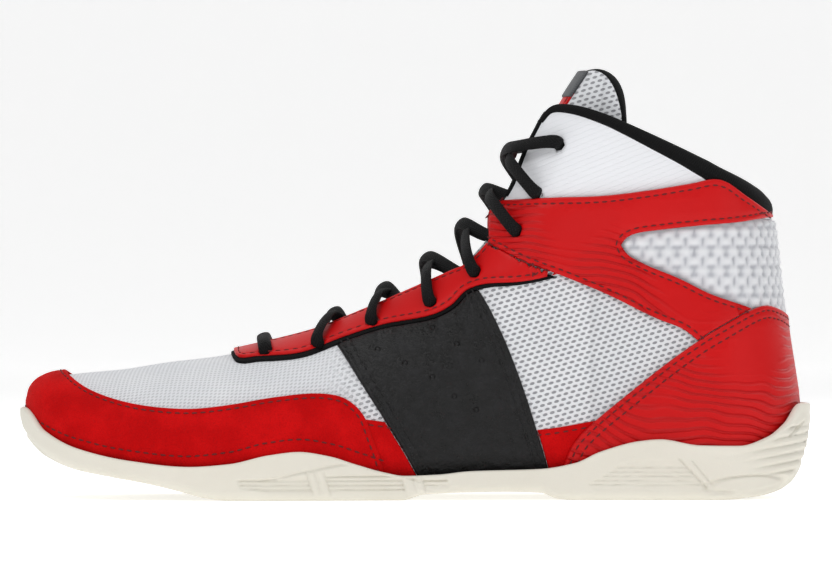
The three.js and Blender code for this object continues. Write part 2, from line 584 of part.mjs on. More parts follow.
// ---- Inside: counter, ankle foam and linings ----
const PAD_FRONT = curve([[84, 150], [86, 136], [92, 110], [96, 80], [98, 40], [98, 0]], 1);
const LINING_START = -62; // the knit ahead of this is unlined
const padRegion = [...PAD_FRONT, [FAR, 0], [FAR, 150 * gradeZ]];
const counterRegion = [...curve([[72, -10], [74, 26], [86, 45], [106, 58], [130, 62], [150, 62]], 1),
  [FAR, -10]];
const counter = layer(COUNTER_IN, -GAP).intersect(sideSlab).intersect(slab(counterRegion));
add("heel_counter", largest(counter), 0x9a8f7a);
const insideLayer = (inner, outer) => largest(layer(inner, outer, SOCKLINER_TOP + GAP)
  .intersect(sideSlab).intersect(slab(padRegion)));
add("ankle_padding", insideLayer(PADDING_IN, PADDING), 0xd8c48a);
add("collar_lining", insideLayer(COLLAR_LINING_IN, COLLAR_LINING), BLACK);
const liningFront = graded([[LINING_START, -30], [LINING_START, 190], [-200, 190], [-200, -30]]);
add("quarter_lining", largest(punched(layer(LINING_IN, LINING).intersect(sideSlab)
  .subtract(slab(liningFront)).subtract(slab(grown(padRegion, GAP)))
  .subtract(slab(grown(counterRegion, GAP))))), 0x3a3a3e);

// ---- Collar binding: a tape folded over the top edge, from throat to throat round the heel ----
const TAPE = 0.7;
const collarTape = (from, low, high) => [...COLLAR.filter(([x]) => x > from).map(([x, z]) => [x, z + high]),
  ...COLLAR.filter(([x]) => x > from).map(([x, z]) => [x, z + low]).reverse()];
const rearLimit = 88 * gradeX;
const outerTape = layer(SKIN + GAP, SKIN + GAP + TAPE)
  .intersect(slab(collarTape(49 * gradeX, -BINDING_WIDTH, TAPE + GAP)));
const topFront = layer(LINING_IN, SKIN + GAP + TAPE / 2).intersect(slab(collarTape(49 * gradeX, GAP,
  TAPE + GAP)));
const topRear = layer(COLLAR_LINING_IN, SKIN + GAP + TAPE / 2)
  .intersect(slab(collarTape(rearLimit, GAP, TAPE + GAP)));
const keepClear = slab(grown(strapRegion, GAP)).intersect(layer(SECOND - GAP, SECOND_TOP + 1));
add("collar_binding", largest(outerTape.add(topFront).add(topRear).subtract(keepClear)), BLACK);

// ---- Tongue ----
const TONGUE_TOP = curve([[42, 141], [51, 147.5], [57, 154.2], [62, 157.8], [66.5, 158.7], [70, 157],
  [73.6, 151.6],
  [76, 144], [77, 137], [74, 120], [64, 104], [48, 88], [30, 74], [8, 62], [-14, 53.5], [-34, 48.5],
    [-51, 45.5]], 1);
const TONGUE_FRONT = graded([[-51, 80], [-20, 110], [20, 150], [40, 170]]);
// The tongue's pattern, drawn in from its edge by a margin.
const tonguePattern = (margin) => slab([...shifted(TONGUE_TOP, margin), ...TONGUE_FRONT]);
const TONGUE_SKIN = 0.8;
const tongueLayer = (top, thick, margin) => largest(layer(top - thick,
  top).intersect(tonguePattern(margin)));
const TONGUE_EDGE = 1.8;
add("tongue_face", tongueLayer(TONGUE, TONGUE_SKIN, TONGUE_EDGE + GAP), WHITE);
add("tongue_foam", tongueLayer(TONGUE - TONGUE_SKIN - GAP, TONGUE_FOAM, TONGUE_EDGE + GAP), 0xd8c48a);
const tongueBack = TONGUE - TONGUE_SKIN - TONGUE_FOAM - 2 * GAP;
add("tongue_lining", tongueLayer(tongueBack, TONGUE_SKIN, TONGUE_EDGE + GAP), BLACK);
const tongueWhole = TONGUE_SKIN * 2 + TONGUE_FOAM + 2 * GAP;
add("tongue_binding", largest(layer(TONGUE - tongueWhole, TONGUE).intersect(tonguePattern(0))
  .subtract(tonguePattern(TONGUE_EDGE))), BLACK);
// A strip down the tongue's middle with a plain label at its top, inside the lacing.
const STRIP_HALF = 11 * gradeY;
const LABEL_FOOT = 147.5 * gradeZ;
const stripLayer = layer(TONGUE + GAP, TONGUE + GAP + 0.7);
const strip = (x0, z0, z1) => {
  const box = new THREE.BoxGeometry(160 * gradeX, 2 * STRIP_HALF, z1 - z0);
  box.deleteAttribute("normal");
  box.deleteAttribute("uv");
  box.translate(x0, along(CENTRE, 50 * gradeX), (z0 + z1) / 2);
  return stripLayer.intersect(solidFrom([...box.attributes.position.array], [...box.index.array]));
};
const frontOnly = slab(graded([[-60, 20], [66, 20], [66, 157.5], [-60, 157.5]]));
add("tongue_strip", largest(strip(0, 100 * gradeZ, LABEL_FOOT - GAP).intersect(frontOnly)), LEATHER_RED);
add("tongue_label", largest(strip(0, LABEL_FOOT, 157 * gradeZ).intersect(frontOnly)), 0x5b5d60);

// ---- Lace: a bar over the front row, then two strands that cross at every row, out of each eyelet ----
const LACE_RADIUS = LACE_DIAMETER / 2;
const LACE_OVER = SECOND_TOP + GAP + LACE_RADIUS;
const LACE_UNDER = LINING_IN - LACE_SLOT / 2;
const CROSS_HIGH = 4.8; // the upper strand's height over the form's ridge at a crossing
const CROSS_LOW = 0.4;
const UNDER_HIGH = -0.9; // the same where the first two strands cross below the flaps
const UNDER_LOW = -3.9;
const LACE_SIDES = 5;

// The ridge point nearest to a place seen from the side, raised square to the ridge.
function ridgeOver(x, z, height) {
  let best = x;
  let least = Infinity;
  for (let u = x - 40; u <= x + 5; u += 0.25) {
    const gap = Math.hypot(u - x, along(RIDGE, u) - z);
    if (gap < least) [best, least] = [u, gap];
  }
  const rise = (along(RIDGE, best + 1) - along(RIDGE, best - 1)) / 2;
  const normal = new THREE.Vector3(-rise, 0, 1).normalize();
  const ridge = new THREE.Vector3(best, along(CENTRE, best), along(RIDGE, best));
  return ridge.addScaledVector(normal, height);
}

// Whether a place of the form seen from the side lies in the throat, between the flaps.
const THROAT_LINE = [...THROAT, ...STRAP_NOSE.slice(1)].map(([x, z]) => [z, x]).reverse();
const isOpen = (x, z) => (z > STRAP_NOSE.at(-1)[1]
  ? x < along(THROAT_LINE, z)
  : halfWidth(x, z) < along(THROAT_WIDTH, x));

// The place on the way from an eyelet to the ridge that is a distance short of the throat's edge.
function throatPoint(side, row, towards, short, offset) {
  const [x, z] = EYELETS[row];
  const STEPS = 120;
  const places = Array.from({ length: STEPS }, (_, i) => [x + ((towards.x - x) * i) / STEPS,
    z + ((towards.z - z) * i) / STEPS]);
  const edge = places.findIndex((place) => isOpen(...place));
  const rim = surfaceAt(side, ...places[edge]).point;
  let i = edge;
  while (i > 0 && surfaceAt(side,
    ...places[i]).point.distanceTo(rim) < Math.abs(short)) i -= Math.sign(short);
  return surfaceAt(side, ...places[i], offset).point;
}

const eyeletPoint = (side, row, offset) => surfaceAt(side, ...EYELETS[row], offset).point;

// The middle of an eyelet, where the lace lies against the rim that is farther from the throat.
function holePoint(side, row, throat) {
  const centre = eyeletPoint(side, row, (SECOND_TOP + LINING_IN) / 2);
  const away = centre.clone().sub(throat).normalize();
  return centre.addScaledVector(away, 0.5);
}

// One strand, from an eyelet to the next row on the other side. At each end it lies over the flap or under it.
function strand(side, row, height, startOver, endOver) {
  const middle = [0, 1].map((k) => (EYELETS[row][k] + EYELETS[row + 1][k]) / 2);
  const foot = ridgeOver(...middle, 0);
  const atEdge = (s, r, over) => (over ? throatPoint(s, r, foot, 1, LACE_OVER + 2)
    : throatPoint(s, r, foot, -0.9, LACE_UNDER + 0.9));
  const level = (over) => (over ? LACE_OVER + 0.6 : LACE_UNDER + 0.3);
  const leaving = atEdge(side, row, startOver);
  const coming = atEdge(-side, row + 1, endOver);
  return [
    holePoint(side, row, leaving),
    eyeletPoint(side, row, level(startOver)),
    leaving,
    ridgeOver(...middle, height),
    coming,
    eyeletPoint(-side, row + 1, level(endOver)),
  ];
}

// A round cord along a smooth curve through its points.
function cordSolid(points, diameter, samples) {
  const path = new THREE.CatmullRomCurve3(points, false, "centripetal");
  const { normals, binormals } = path.computeFrenetFrames(samples);
  const rings = Array.from({ length: samples + 1 }, (_, i) => {
    const centre = path.getPointAt(i / samples);
    return Array.from({ length: LACE_SIDES }, (__, k) => {
      const turn = (k / LACE_SIDES) * 2 * Math.PI;
      return centre.clone()
        .addScaledVector(normals[i], (Math.cos(turn) * diameter) / 2)
        .addScaledVector(binormals[i], (Math.sin(turn) * diameter) / 2);
    });
  });
  return ringsToSolid(rings, true);
}

const ROWS = EYELETS.length;
const route = (side) => {
  const points = [];
  for (let row = 0; row + 1 < ROWS; row += 1) {
    const from = row % 2 ? -side : side;
    const heights = row ? [CROSS_LOW, CROSS_HIGH] : [UNDER_LOW, UNDER_HIGH];
    points.push(...strand(from, row, heights[from > 0 ? 1 : 0], row > 0, row + 2 === ROWS));
  }
  const last = (ROWS - 1) % 2 ? -side : side;
  points.push(eyeletPoint(last, ROWS - 1, (SKIN + LINING_IN) / 2), eyeletPoint(last, ROWS - 1,
    LACE_UNDER + 1));
  return points;
};
const bar = [eyeletPoint(-1, 0, LACE_OVER), ridgeOver(EYELETS[0][0], along(RIDGE, EYELETS[0][0]),
  LACE_OVER + 0.4),
  eyeletPoint(1, 0, LACE_OVER)];
const LACE_SAMPLES = 130;
add("lace", cordSolid([...route(-1).reverse(), ...bar, ...route(1)], LACE_DIAMETER, LACE_SAMPLES), BLACK);

// ---- Lace tails: tucked in beside the foot, down the wall and forward along the sockliner ----
const TAIL_ROUTE = graded([[52.6, 125], [53.5, 121.5], [54.5, 118], [56, 111.5], [57.5, 105], [58.6, 97.5],
  [59.5, 90], [60.4, 80], [61, 70], [61.3, 60], [61, 50], [60, 41], [58, 34], [54.6, 28], [50, 23],
    [44.5, 20.2],
  [38, 18.4], [30, 17.2], [22, 16.4], [12, 15.6], [2, 15], [-8, 14.6], [-18, 14.4]]);
const AGLET_ROUTE = graded([[-19.5, 14.4], [-28, 14.3], [-37, 14.3]]);
const AGLET_DIAMETER = 2.8;
const inside = (side, line, offset) => line.map(([x, z]) => surfaceAt(side, x, z, offset).point);
for (const [name, side] of [["medial", -1], ["lateral", 1]]) {
  add(`lace_tail_${name}`, cordSolid(inside(side, TAIL_ROUTE, LACE_UNDER - 0.1), LACE_DIAMETER, 30), BLACK);
  add(`aglet_${name}`, cordSolid(inside(side, AGLET_ROUTE, LACE_UNDER - 0.1), AGLET_DIAMETER, 2), BLACK,
    0.3);
}

export default mesh;
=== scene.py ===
"""A mid-height boxing boot for the right foot: toe towards -X, medial side towards -Y, sole on z = 0."""
import math

import bmesh
import bpy
import numpy as np
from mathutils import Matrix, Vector


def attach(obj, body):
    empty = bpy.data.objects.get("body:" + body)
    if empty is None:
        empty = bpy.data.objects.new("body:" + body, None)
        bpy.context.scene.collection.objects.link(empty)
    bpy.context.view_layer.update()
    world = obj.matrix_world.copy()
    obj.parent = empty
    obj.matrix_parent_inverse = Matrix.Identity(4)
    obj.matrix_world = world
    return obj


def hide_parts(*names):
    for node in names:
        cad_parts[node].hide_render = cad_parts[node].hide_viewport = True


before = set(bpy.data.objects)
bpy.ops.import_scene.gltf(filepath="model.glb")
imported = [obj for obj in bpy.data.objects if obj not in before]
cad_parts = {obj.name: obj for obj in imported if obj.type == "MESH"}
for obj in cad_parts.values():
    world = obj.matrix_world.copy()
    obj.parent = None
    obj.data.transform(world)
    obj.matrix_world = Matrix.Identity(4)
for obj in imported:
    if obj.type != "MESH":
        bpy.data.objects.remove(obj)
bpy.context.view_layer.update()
SIDES = (("medial", -1), ("lateral", 1))


def settle(piece, node, body="root"):
    """Hides the part that a piece stands in for, and hangs the piece on the body that it rides on."""
    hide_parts(node)
    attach(piece, body)


# ---- Camera, light and backdrop ----
# The boot stands on a pale sweep, lit by wide soft lamps, and a long lens looks level at its medial side.
VIEW_WIDTH = 0.3041
VIEW_HEIGHT = 0.0774
CAMERA_AWAY = 2.6
SENSOR = 36.0
NEAR_SIDE = 0.036
AIM = (0, 0, 0.06)
WORLD_LIGHT, BACKDROP_GLOW = 0.34, 0.43
SWEEP_FRONT, SWEEP_BACK, SWEEP_HALF, SWEEP_ROUND, SWEEP_TOP = -5.0, 4.2, 6.0, 1.2, 6.0

camera = bpy.data.objects.new("camera", bpy.data.cameras.new("camera"))
camera.data.sensor_width = SENSOR
camera.data.lens = SENSOR * (CAMERA_AWAY - NEAR_SIDE) / VIEW_WIDTH
camera.location = (0, -CAMERA_AWAY, VIEW_HEIGHT)
camera.rotation_euler = (math.radians(90), 0, 0)
camera.data.clip_end = 40
bpy.context.collection.objects.link(camera)
bpy.context.scene.camera = camera
bpy.context.scene.view_settings.view_transform = "Standard"


def lamp(name, place, size, watts):
    """A square soft lamp that faces the boot's middle."""
    data = bpy.data.lights.new(name, "AREA")
    data.size = size
    data.energy = watts
    made = bpy.data.objects.new(name, data)
    made.location = place
    made.rotation_euler = (Vector(AIM) - Vector(place)).to_track_quat("-Z", "Y").to_euler()
    bpy.context.collection.objects.link(made)
    return made


lamps = [
    lamp("key", (-0.7, -1.4, 1.6), 1.1, 15),
    lamp("fill", (1.5, -1.3, 0.7), 1.4, 5),
    lamp("top", (0.1, 0.1, 1.7), 1.3, 9),
    lamp("rim", (0.9, 1.3, 1.1), 1.0, 6),
]
world = bpy.data.worlds.new("studio")
world.use_nodes = True
world.node_tree.nodes["Background"].inputs["Color"].default_value = (1, 1, 1, 1)
world.node_tree.nodes["Background"].inputs["Strength"].default_value = WORLD_LIGHT
bpy.context.scene.world = world


class Socket:
    """A shader value that can be added, multiplied and compared as a number is."""

    def __init__(self, paint, link):
        self.paint = paint
        self.link = link

    def _math(self, operation, first, second=0.0):
        return self.paint.node("ShaderNodeMath", {"operation": operation}, [first, second])

    def __add__(self, other):
        return self._math("ADD", self, other)

    def __radd__(self, other):
        return self._math("ADD", other, self)

    def __sub__(self, other):
        return self._math("SUBTRACT", self, other)

    def __rsub__(self, other):
        return self._math("SUBTRACT", other, self)

    def __mul__(self, other):
        return self._math("MULTIPLY", self, other)

    def __rmul__(self, other):
        return self._math("MULTIPLY", other, self)

    def __truediv__(self, other):
        return self._math("DIVIDE", self, other)

    def __pow__(self, other):
        return self._math("POWER", self, other)

    def __gt__(self, other):
        return self._math("GREATER_THAN", self, other)

    def __lt__(self, other):
        return self._math("LESS_THAN", self, other)


class Paint:
    """A material under construction, with one method that makes every node in it."""

    def __init__(self, name, roughness=0.8, **plain):
        self.material = bpy.data.materials.new(name)
        self.material.use_nodes = True
        self.tree = self.material.node_tree
        self.shader = self.tree.nodes["Principled BSDF"]
        self.shader.inputs["Roughness"].default_value = roughness
        for socket, value in plain.items():
            self.shader.inputs[socket.replace("_", " ")].default_value = value

    def node(self, kind, settings, values, output=0):
        """Makes a node: first its settings, then its sockets by place or name, and gives one output."""
        made = self.tree.nodes.new(kind)
        for key, value in settings.items():
            if key == "stops":
                while len(made.color_ramp.elements) < len(value):
                    made.color_ramp.elements.new(0.5)
                for element, (place, color) in zip(made.color_ramp.elements, value):
                    element.position = place
                    element.color = (*color, 1)
            else:
                setattr(made, key, value)
        pairs = values.items() if isinstance(values, dict) else enumerate(values)
        for key, value in pairs:
            if isinstance(value, Socket):
                self.tree.links.new(value.link, made.inputs[key])
            elif value is not None:
                made.inputs[key].default_value = value
        return Socket(self, made.outputs[output])

    def place(self):
        return self.node("ShaderNodeTexCoord", {}, [], "Object")

    def surface(self):
        return self.node("ShaderNodeUVMap", {"uv_map": "surface"}, [])

    def split(self, vector):
        return [self.node("ShaderNodeSeparateXYZ", {}, [vector], k) for k in range(3)]

    def noise(self, scale, detail=3.0, at=None, roughness=0.5):
        return self.node("ShaderNodeTexNoise", {}, {
            "Vector": at or self.place(), "Scale": scale, "Detail": detail, "Roughness": roughness})

    def mix(self, amount, first, second):
        return self.node("ShaderNodeMix", {"data_type": "RGBA"}, {0: amount, 6: first, 7: second}, 2)

    def sine(self, value):
        return self.node("ShaderNodeMath", {"operation": "SINE"}, [value])

    def fraction(self, value):
        return self.node("ShaderNodeMath", {"operation": "FRACT"}, [value])

    def distance(self, value):
        return self.node("ShaderNodeMath", {"operation": "ABSOLUTE"}, [value])

    def floor(self, value):
        return self.node("ShaderNodeMath", {"operation": "FLOOR"}, [value])

    def ease(self, value, low, high):
        """0 below low, 1 above high, and smooth between."""
        return self.node("ShaderNodeMapRange", {"interpolation_type": "SMOOTHSTEP"}, [value, low, high, 0.0, 1.0])

    def finish(self, color=None, roughness=None, height=None, depth=0.0002, strength=1.0):
        """Links what varies over the surface and gives the material."""
        if color is not None:
            self.tree.links.new(color.link, self.shader.inputs["Base Color"])
        if roughness is not None:
            self.tree.links.new(roughness.link, self.shader.inputs["Roughness"])
        if height is not None:
            bump = self.node("ShaderNodeBump", {}, {"Strength": strength, "Distance": depth, "Height": height})
            self.tree.links.new(bump.link, self.shader.inputs["Normal"])
        return self.material


sweep = bmesh.new()
profile = [(SWEEP_FRONT, 0.0), (SWEEP_BACK, 0.0)]
profile += [(SWEEP_BACK + math.sin(a) * SWEEP_ROUND, SWEEP_ROUND - math.cos(a) * SWEEP_ROUND)
            for a in np.linspace(0.1, math.pi / 2, 12)]
profile += [(SWEEP_BACK + SWEEP_ROUND, SWEEP_TOP)]
edges = [[sweep.verts.new((x, y, z)) for y, z in profile] for x in (-SWEEP_HALF, SWEEP_HALF)]
for k in range(len(profile) - 1):
    sweep.faces.new((edges[0][k], edges[1][k], edges[1][k + 1], edges[0][k + 1]))
backdrop_mesh = bpy.data.meshes.new("backdrop")
sweep.to_mesh(backdrop_mesh)
for polygon in backdrop_mesh.polygons:
    polygon.use_smooth = True
backdrop = bpy.data.objects.new("backdrop", backdrop_mesh)
bpy.context.collection.objects.link(backdrop)
backdrop_paint = Paint("backdrop_white", 0.9)
backdrop_paint.shader.inputs["Base Color"].default_value = (0.93, 0.93, 0.93, 1)
backdrop_paint.shader.inputs["Emission Color"].default_value = (1, 1, 1, 1)
backdrop_paint.shader.inputs["Emission Strength"].default_value = BACKDROP_GLOW
backdrop_mesh.materials.append(backdrop_paint.finish())

# ---- The foot form ----
# The upper is lasted over a foot-shaped form, so every layer of it is a shell at some height over that form.
# Lengths here are in millimetres: x along the boot, y across it and z up.
MM = 0.001
TOE_TIP, BALL, HEEL_AXIS, FORM_TOP = -141.0, -52.0, 107.0, 175.0
RIDGE = [(-141, 36), (-140, 39.5), (-137.6, 42), (-133, 43.8), (-125, 44.9), (-108, 46.5), (-92, 49), (-75, 51),
         (-59, 54), (-48, 57.3), (-37, 60.8), (-26, 65.5), (-15, 71), (-4, 77.8), (7, 86), (18, 96.5), (26, 107),
         (32, 117), (38, 129), (43.6, 141.5), (49.5, 152), (56, 162), (63, 173), (72, 190), (85, 220), (110, 300)]
FEATHER = [(-141, 28.5), (-137, 23.2), (-130, 18.2), (-120, 14), (-100, 10), (-80, 7.2), (-60, 5.8), (-40, 5.8),
           (0, 7), (40, 8.9), (70, 9.8), (107, 10.4), (142, 11)]
FOOT_WIDTH = [(-52, 47), (-25, 45), (0, 41), (30, 37.5), (60, 35.8), (107, 35.5)]
SHAFT_WIDTH, ANKLE_WIDTH = 34.0, 32.5
CENTRE = [(-141, -10), (-115, -6), (-85, -1.5), (-50, 1), (0, 1.6), (50, 0.8), (107, 0)]
BACK = [(10, 135.5), (20, 138), (34, 139.2), (47, 137.6), (60, 135.6), (70, 134.6), (82, 133.2), (92, 132.2),
        (102, 131), (112, 130), (140, 128.6), (175, 128)]
TOE_FULLNESS, BULGE_HEIGHT, TUCK, CLOSING = 2.35, 10.0, 0.075, 58.0


def along(table, at):
    """A smooth curve through a table of (place, value), read at many places."""
    x, y = np.array(table, float).T
    at = np.clip(np.asarray(at, float), x[0], x[-1])
    i = np.clip(np.searchsorted(x, at) - 1, 0, len(x) - 2)
    step = np.diff(y) / np.diff(x)
    slope = np.zeros(len(x))
    before, after = step[:-1], step[1:]
    same = before * after > 0
    slope[1:-1][same] = 2 * before[same] * after[same] / (before[same] + after[same])
    span = x[i + 1] - x[i]
    t = (at - x[i]) / span
    rise = y[i + 1] - y[i]
    first = slope[i] * span - rise
    second = rise - slope[i + 1] * span
    return y[i] + t * rise + t * (1 - t) * (first * (1 - t) + second * t)


def smooth(low, high, value):
    t = np.clip((value - low) / (high - low), 0, 1)
    return t * t * (3 - 2 * t)


def unit(vectors):
    return vectors / (np.linalg.norm(vectors, axis=-1, keepdims=True) + 1e-12)


def walked(points):
    """How far along a line each of its points lies."""
    return np.concatenate([[0], np.cumsum(np.linalg.norm(np.diff(points, axis=0), axis=1))])


def between(at, places, vectors):
    """Vectors that are known at some places along a line, read at others."""
    return np.stack([np.interp(at, places, vectors[:, k]) for k in range(3)], 1)


def soften(line, times):
    """Draws every point of a line but its ends towards its neighbours."""
    for _ in range(times):
        line[1:-1] = (line[:-2] + 2 * line[1:-1] + line[2:]) / 4


def square_to(heading, vectors):
    """Unit vectors without their part along the heading."""
    return unit(vectors - heading * (vectors * heading).sum(1, keepdims=True))


def foot_width(x):
    t = np.clip((BALL - x) / (BALL - TOE_TIP), 0, 1)
    toe = FOOT_WIDTH[0][1] * (1 - t**TOE_FULLNESS) ** (1 / TOE_FULLNESS)
    return np.where(x < BALL, toe, along(FOOT_WIDTH, x))


def widest_level(x):
    low = along(FEATHER, x)
    return low + np.minimum(BULGE_HEIGHT, 0.45 * (along(RIDGE, x) - low))


def half_width(x, z):
    """Half the form's width at a place seen from the side."""
    upper = ANKLE_WIDTH + (SHAFT_WIDTH - ANKLE_WIDTH) * smooth(85, 115, z)
    foot = foot_width(x)
    plain = foot + (upper - foot) * smooth(20, 62, x) * smooth(30, 78, z)
    low, widest, ridge = along(FEATHER, x), widest_level(x), along(RIDGE, x)
    rounded = np.clip((ridge - z) / np.minimum(CLOSING, ridge - widest), 0, 1)
    tuck = np.where(z < widest, TUCK * np.clip((widest - z) / (widest - low), 0, 1) ** 2, 0)
    return plain * np.sqrt(np.clip(1 - (1 - rounded) ** 2, 0, 1)) * (1 - tuck)


def form_point(side, station, z):
    """Stations 0 to 1 run from the toe to the heel's axis, and 1 to 2 round the heel."""
    front = station <= 1
    toe = TOE_TIP + (BALL - TOE_TIP) * (1 - np.cos(np.clip(station / 0.35, 0, 1) * np.pi / 2))
    rear = BALL + (HEEL_AXIS - BALL) * np.clip((station - 0.35) / 0.65, 0, 1)
    x = np.where(station < 0.35, toe, rear)
    turn = np.clip(station - 1, 0, 1) * np.pi / 2
    reach = along(BACK, z) - HEEL_AXIS
    wide = half_width(x, z)
    return np.stack([
        np.where(front, x, HEEL_AXIS + reach * np.sin(turn)),
        np.where(front, along(CENTRE, x) + side * wide, side * wide * np.cos(turn)),
        np.broadcast_to(z, wide.shape),
    ], -1)


def side_shift():
    """How far the widest places of the sole are off centre, which sets where y = 0 is."""
    x = np.linspace(-140, 140, 2801)
    ahead = np.clip((BALL - x) / (BALL - SOLE_TOE), 0, 1)
    toe = (FOOT_WIDTH[0][1] + SOLE_FLARE) * (1 - ahead**TOE_FULLNESS) ** (1 / TOE_FULLNESS)
    wide = np.where(x < BALL, toe, foot_width(x) + SOLE_FLARE)
    middle = along(CENTRE, x)
    return ((middle - wide).min() + (middle + wide).max()) / 2


SOLE_FLARE, SOLE_TOE, SOLE_HEEL = 6.0, -146.0, 146.0
SHIFT = side_shift()
X, Y, Z, NX, NY, NZ, U, V, W = range(9)
TUCK_ROWS, LENGTH_LEVEL = 5, 4


def form_rows(stations, levels):
    """A grid on the form, from the medial foot over the ridge to the lateral foot, with normals and lengths."""
    x = form_point(1, np.minimum(stations, 1), np.zeros_like(stations))[:, 0]
    low, widest = along(FEATHER, x), widest_level(x)
    top = np.minimum(along(RIDGE, x), FORM_TOP)
    v = np.linspace(0, 1, levels)[None, :]
    rise = widest[:, None] + (top - widest)[:, None] * np.sin(v * np.pi / 2)
    foot = low[:, None] + (widest - low)[:, None] * (np.arange(TUCK_ROWS) / TUCK_ROWS)[None, :]
    z = np.concatenate([foot, rise], 1)
    s = np.repeat(stations[:, None], z.shape[1], 1)
    near, far = form_point(-1, s, z), form_point(1, s, z)
    open_top = along(RIDGE, x) > FORM_TOP
    points = np.concatenate([near, far[:, ::-1][:, 1:]], 1)
    across = np.gradient(points, axis=1)
    middle = near.shape[1] - 1
    across[open_top, middle] = across[open_top, middle - 1]
    onward = np.gradient(points, axis=0)
    normal = np.cross(across, onward)
    normal /= -np.linalg.norm(normal, axis=2, keepdims=True) - 1e-12
    normal[0] = (-1, 0, 0)
    normal[-1] = (1, 0, 0)
    walk = np.linalg.norm(np.diff(points, axis=1), axis=2)
    up = np.concatenate([np.zeros((len(x), 1)), np.cumsum(walk, 1)], 1)
    up -= up[:, middle : middle + 1]
    raised = np.minimum(up - up[:, :1], up[:, -1:] - up)
    lengthwise = np.repeat(walked(near[:, LENGTH_LEVEL])[:, None], points.shape[1], 1)
    return np.concatenate([points, normal, np.stack([lengthwise, up, raised], -1)], 2), middle, open_top


class Skin:
    """Points on the form and the faces between them, which can be cut along any measured edge."""

    def __init__(self, rows, faces, names=()):
        self.rows, self.faces, self.names = rows, faces, list(names)

    @classmethod
    def on_form(cls, toe=64, foot=150, heel=44, levels=52, low_x=-200, high_x=200, low_z=-50, high_z=200):
        """The whole form, or the part of it inside a box seen from the side."""
        stations = np.concatenate([0.35 * np.arange(toe) / toe, 0.35 + 0.65 * np.arange(foot) / foot,
                                   1 + np.arange(heel + 1) / heel])
        grid, middle, open_top = form_rows(stations, levels)
        count, wide = grid.shape[:2]
        index = np.arange(count * wide).reshape(count, wide)
        index[0, middle:] = index[0, middle::-1][: wide - middle]
        index[-1, middle:] = index[-1, middle::-1][: wide - middle]
        corners = np.stack([index[:-1, :-1], index[1:, :-1], index[1:, 1:], index[:-1, 1:]], -1)
        inside = (grid[..., X] > low_x) & (grid[..., X] < high_x)
        inside &= (grid[..., Z] > low_z) & (grid[..., Z] < high_z)
        inside &= ~(open_top[:, None] & (np.arange(wide) == middle)[None])
        near = inside[:-1, :-1] & inside[1:, :-1] & inside[1:, 1:] & inside[:-1, 1:]
        faces = []
        for quad in corners[near].tolist():
            ring = [i for k, i in enumerate(quad) if i != quad[k - 1]]
            if len(set(ring)) == len(ring) > 2:
                faces.append(tuple(ring))
        return cls(grid.reshape(-1, grid.shape[2]), faces).compact()

    def compact(self):
        used = np.unique([i for face in self.faces for i in face])
        place = np.full(len(self.rows), -1)
        place[used] = np.arange(len(used))
        place = place.tolist()
        self.rows = self.rows[used]
        self.faces = [tuple(place[i] for i in face) for face in self.faces]
        return self

    def copy(self):
        return Skin(self.rows.copy(), list(self.faces), self.names)

    def column(self, name):
        return W + 1 + self.names.index(name)

    def get(self, name):
        return self.rows[:, self.column(name)]

    def add(self, name, values):
        self.names.append(name)
        self.rows = np.column_stack([self.rows, values])
        return self

    def measure(self, name, field):
        """Adds the distance over the surface from a field's zero line, with its sign."""
        step = 0.12
        points, normal = self.rows[:, :3], self.rows[:, NX : NZ + 1]
        first = np.cross(normal, (0.31, 0.12, 0.94))
        first /= np.linalg.norm(first, axis=1, keepdims=True)
        second = np.cross(normal, first)
        here = field(points)
        slope = np.hypot(field(points + step * first) - here, field(points + step * second) - here) / step
        return self.add(name, here / np.clip(slope, 0.25, 1.2))

    def split(self, name, level):
        """Adds an edge along the line where a measure has one value."""
        column = self.column(name)
        value = self.rows[:, column] - level
        value[np.abs(value) < 2e-3] = 0
        self.rows[value == 0, column] = level
        sign = np.sign(value).astype(int).tolist()
        made, pairs, faces = {}, [], []
        for face in self.faces:
            marks = [sign[i] for i in face]
            if min(marks) >= 0 or max(marks) <= 0:
                faces.append(face)
                continue
            loop = []
            for k, i in enumerate(face):
                j = face[(k + 1) % len(face)]
                loop.append((i, marks[k]))
                if sign[i] * sign[j] < 0:
                    key = (min(i, j), max(i, j))
                    if key not in made:
                        made[key] = len(self.rows) + len(pairs)
                        pairs.append(key)
                    loop.append((made[key], 0))
            faces += [tuple(i for i, mark in loop if mark >= 0), tuple(i for i, mark in loop if mark <= 0)]
        self.faces = [face for face in faces if len(face) > 2]
        if pairs:
            a, b = np.array(pairs).T
            share = (value[a] / (value[a] - value[b]))[:, None]
            fresh = self.rows[a] + share * (self.rows[b] - self.rows[a])
            fresh[:, column] = level
            self.rows = np.vstack([self.rows, fresh])
        return self

    def keep(self, name, level=0.0):
        """Cuts along a line and keeps the side where the measure is greater."""
        self.split(name, level)
        good = (self.get(name) >= level - 1e-6).tolist()
        self.faces = [face for face in self.faces if all(good[i] for i in face)]
        return self.compact()

    def line(self, name, level, height):
        """The chains of points along one value of a measure, raised over the form."""
        on = (np.abs(self.get(name) - level) < 1e-6).tolist()
        links = {}
        for face in self.faces:
            for k, i in enumerate(face):
                j = face[(k + 1) % len(face)]
                if on[i] and on[j]:
                    links.setdefault(i, set()).add(j)
                    links.setdefault(j, set()).add(i)
        chains = []
        while links:
            start = next((i for i, near in links.items() if len(near) == 1), next(iter(links)))
            chain = [start]
            while links.get(chain[-1]):
                here = chain[-1]
                onward = links[here].pop()
                links[onward].discard(here)
                if not links[here]:
                    del links[here]
                chain.append(onward)
            links.pop(chain[-1], None)
            if len(chain) > 4:
                raised = self.rows[chain, :3] + self.rows[chain, NX : NZ + 1] * height
                chains.append(raised)
        return chains


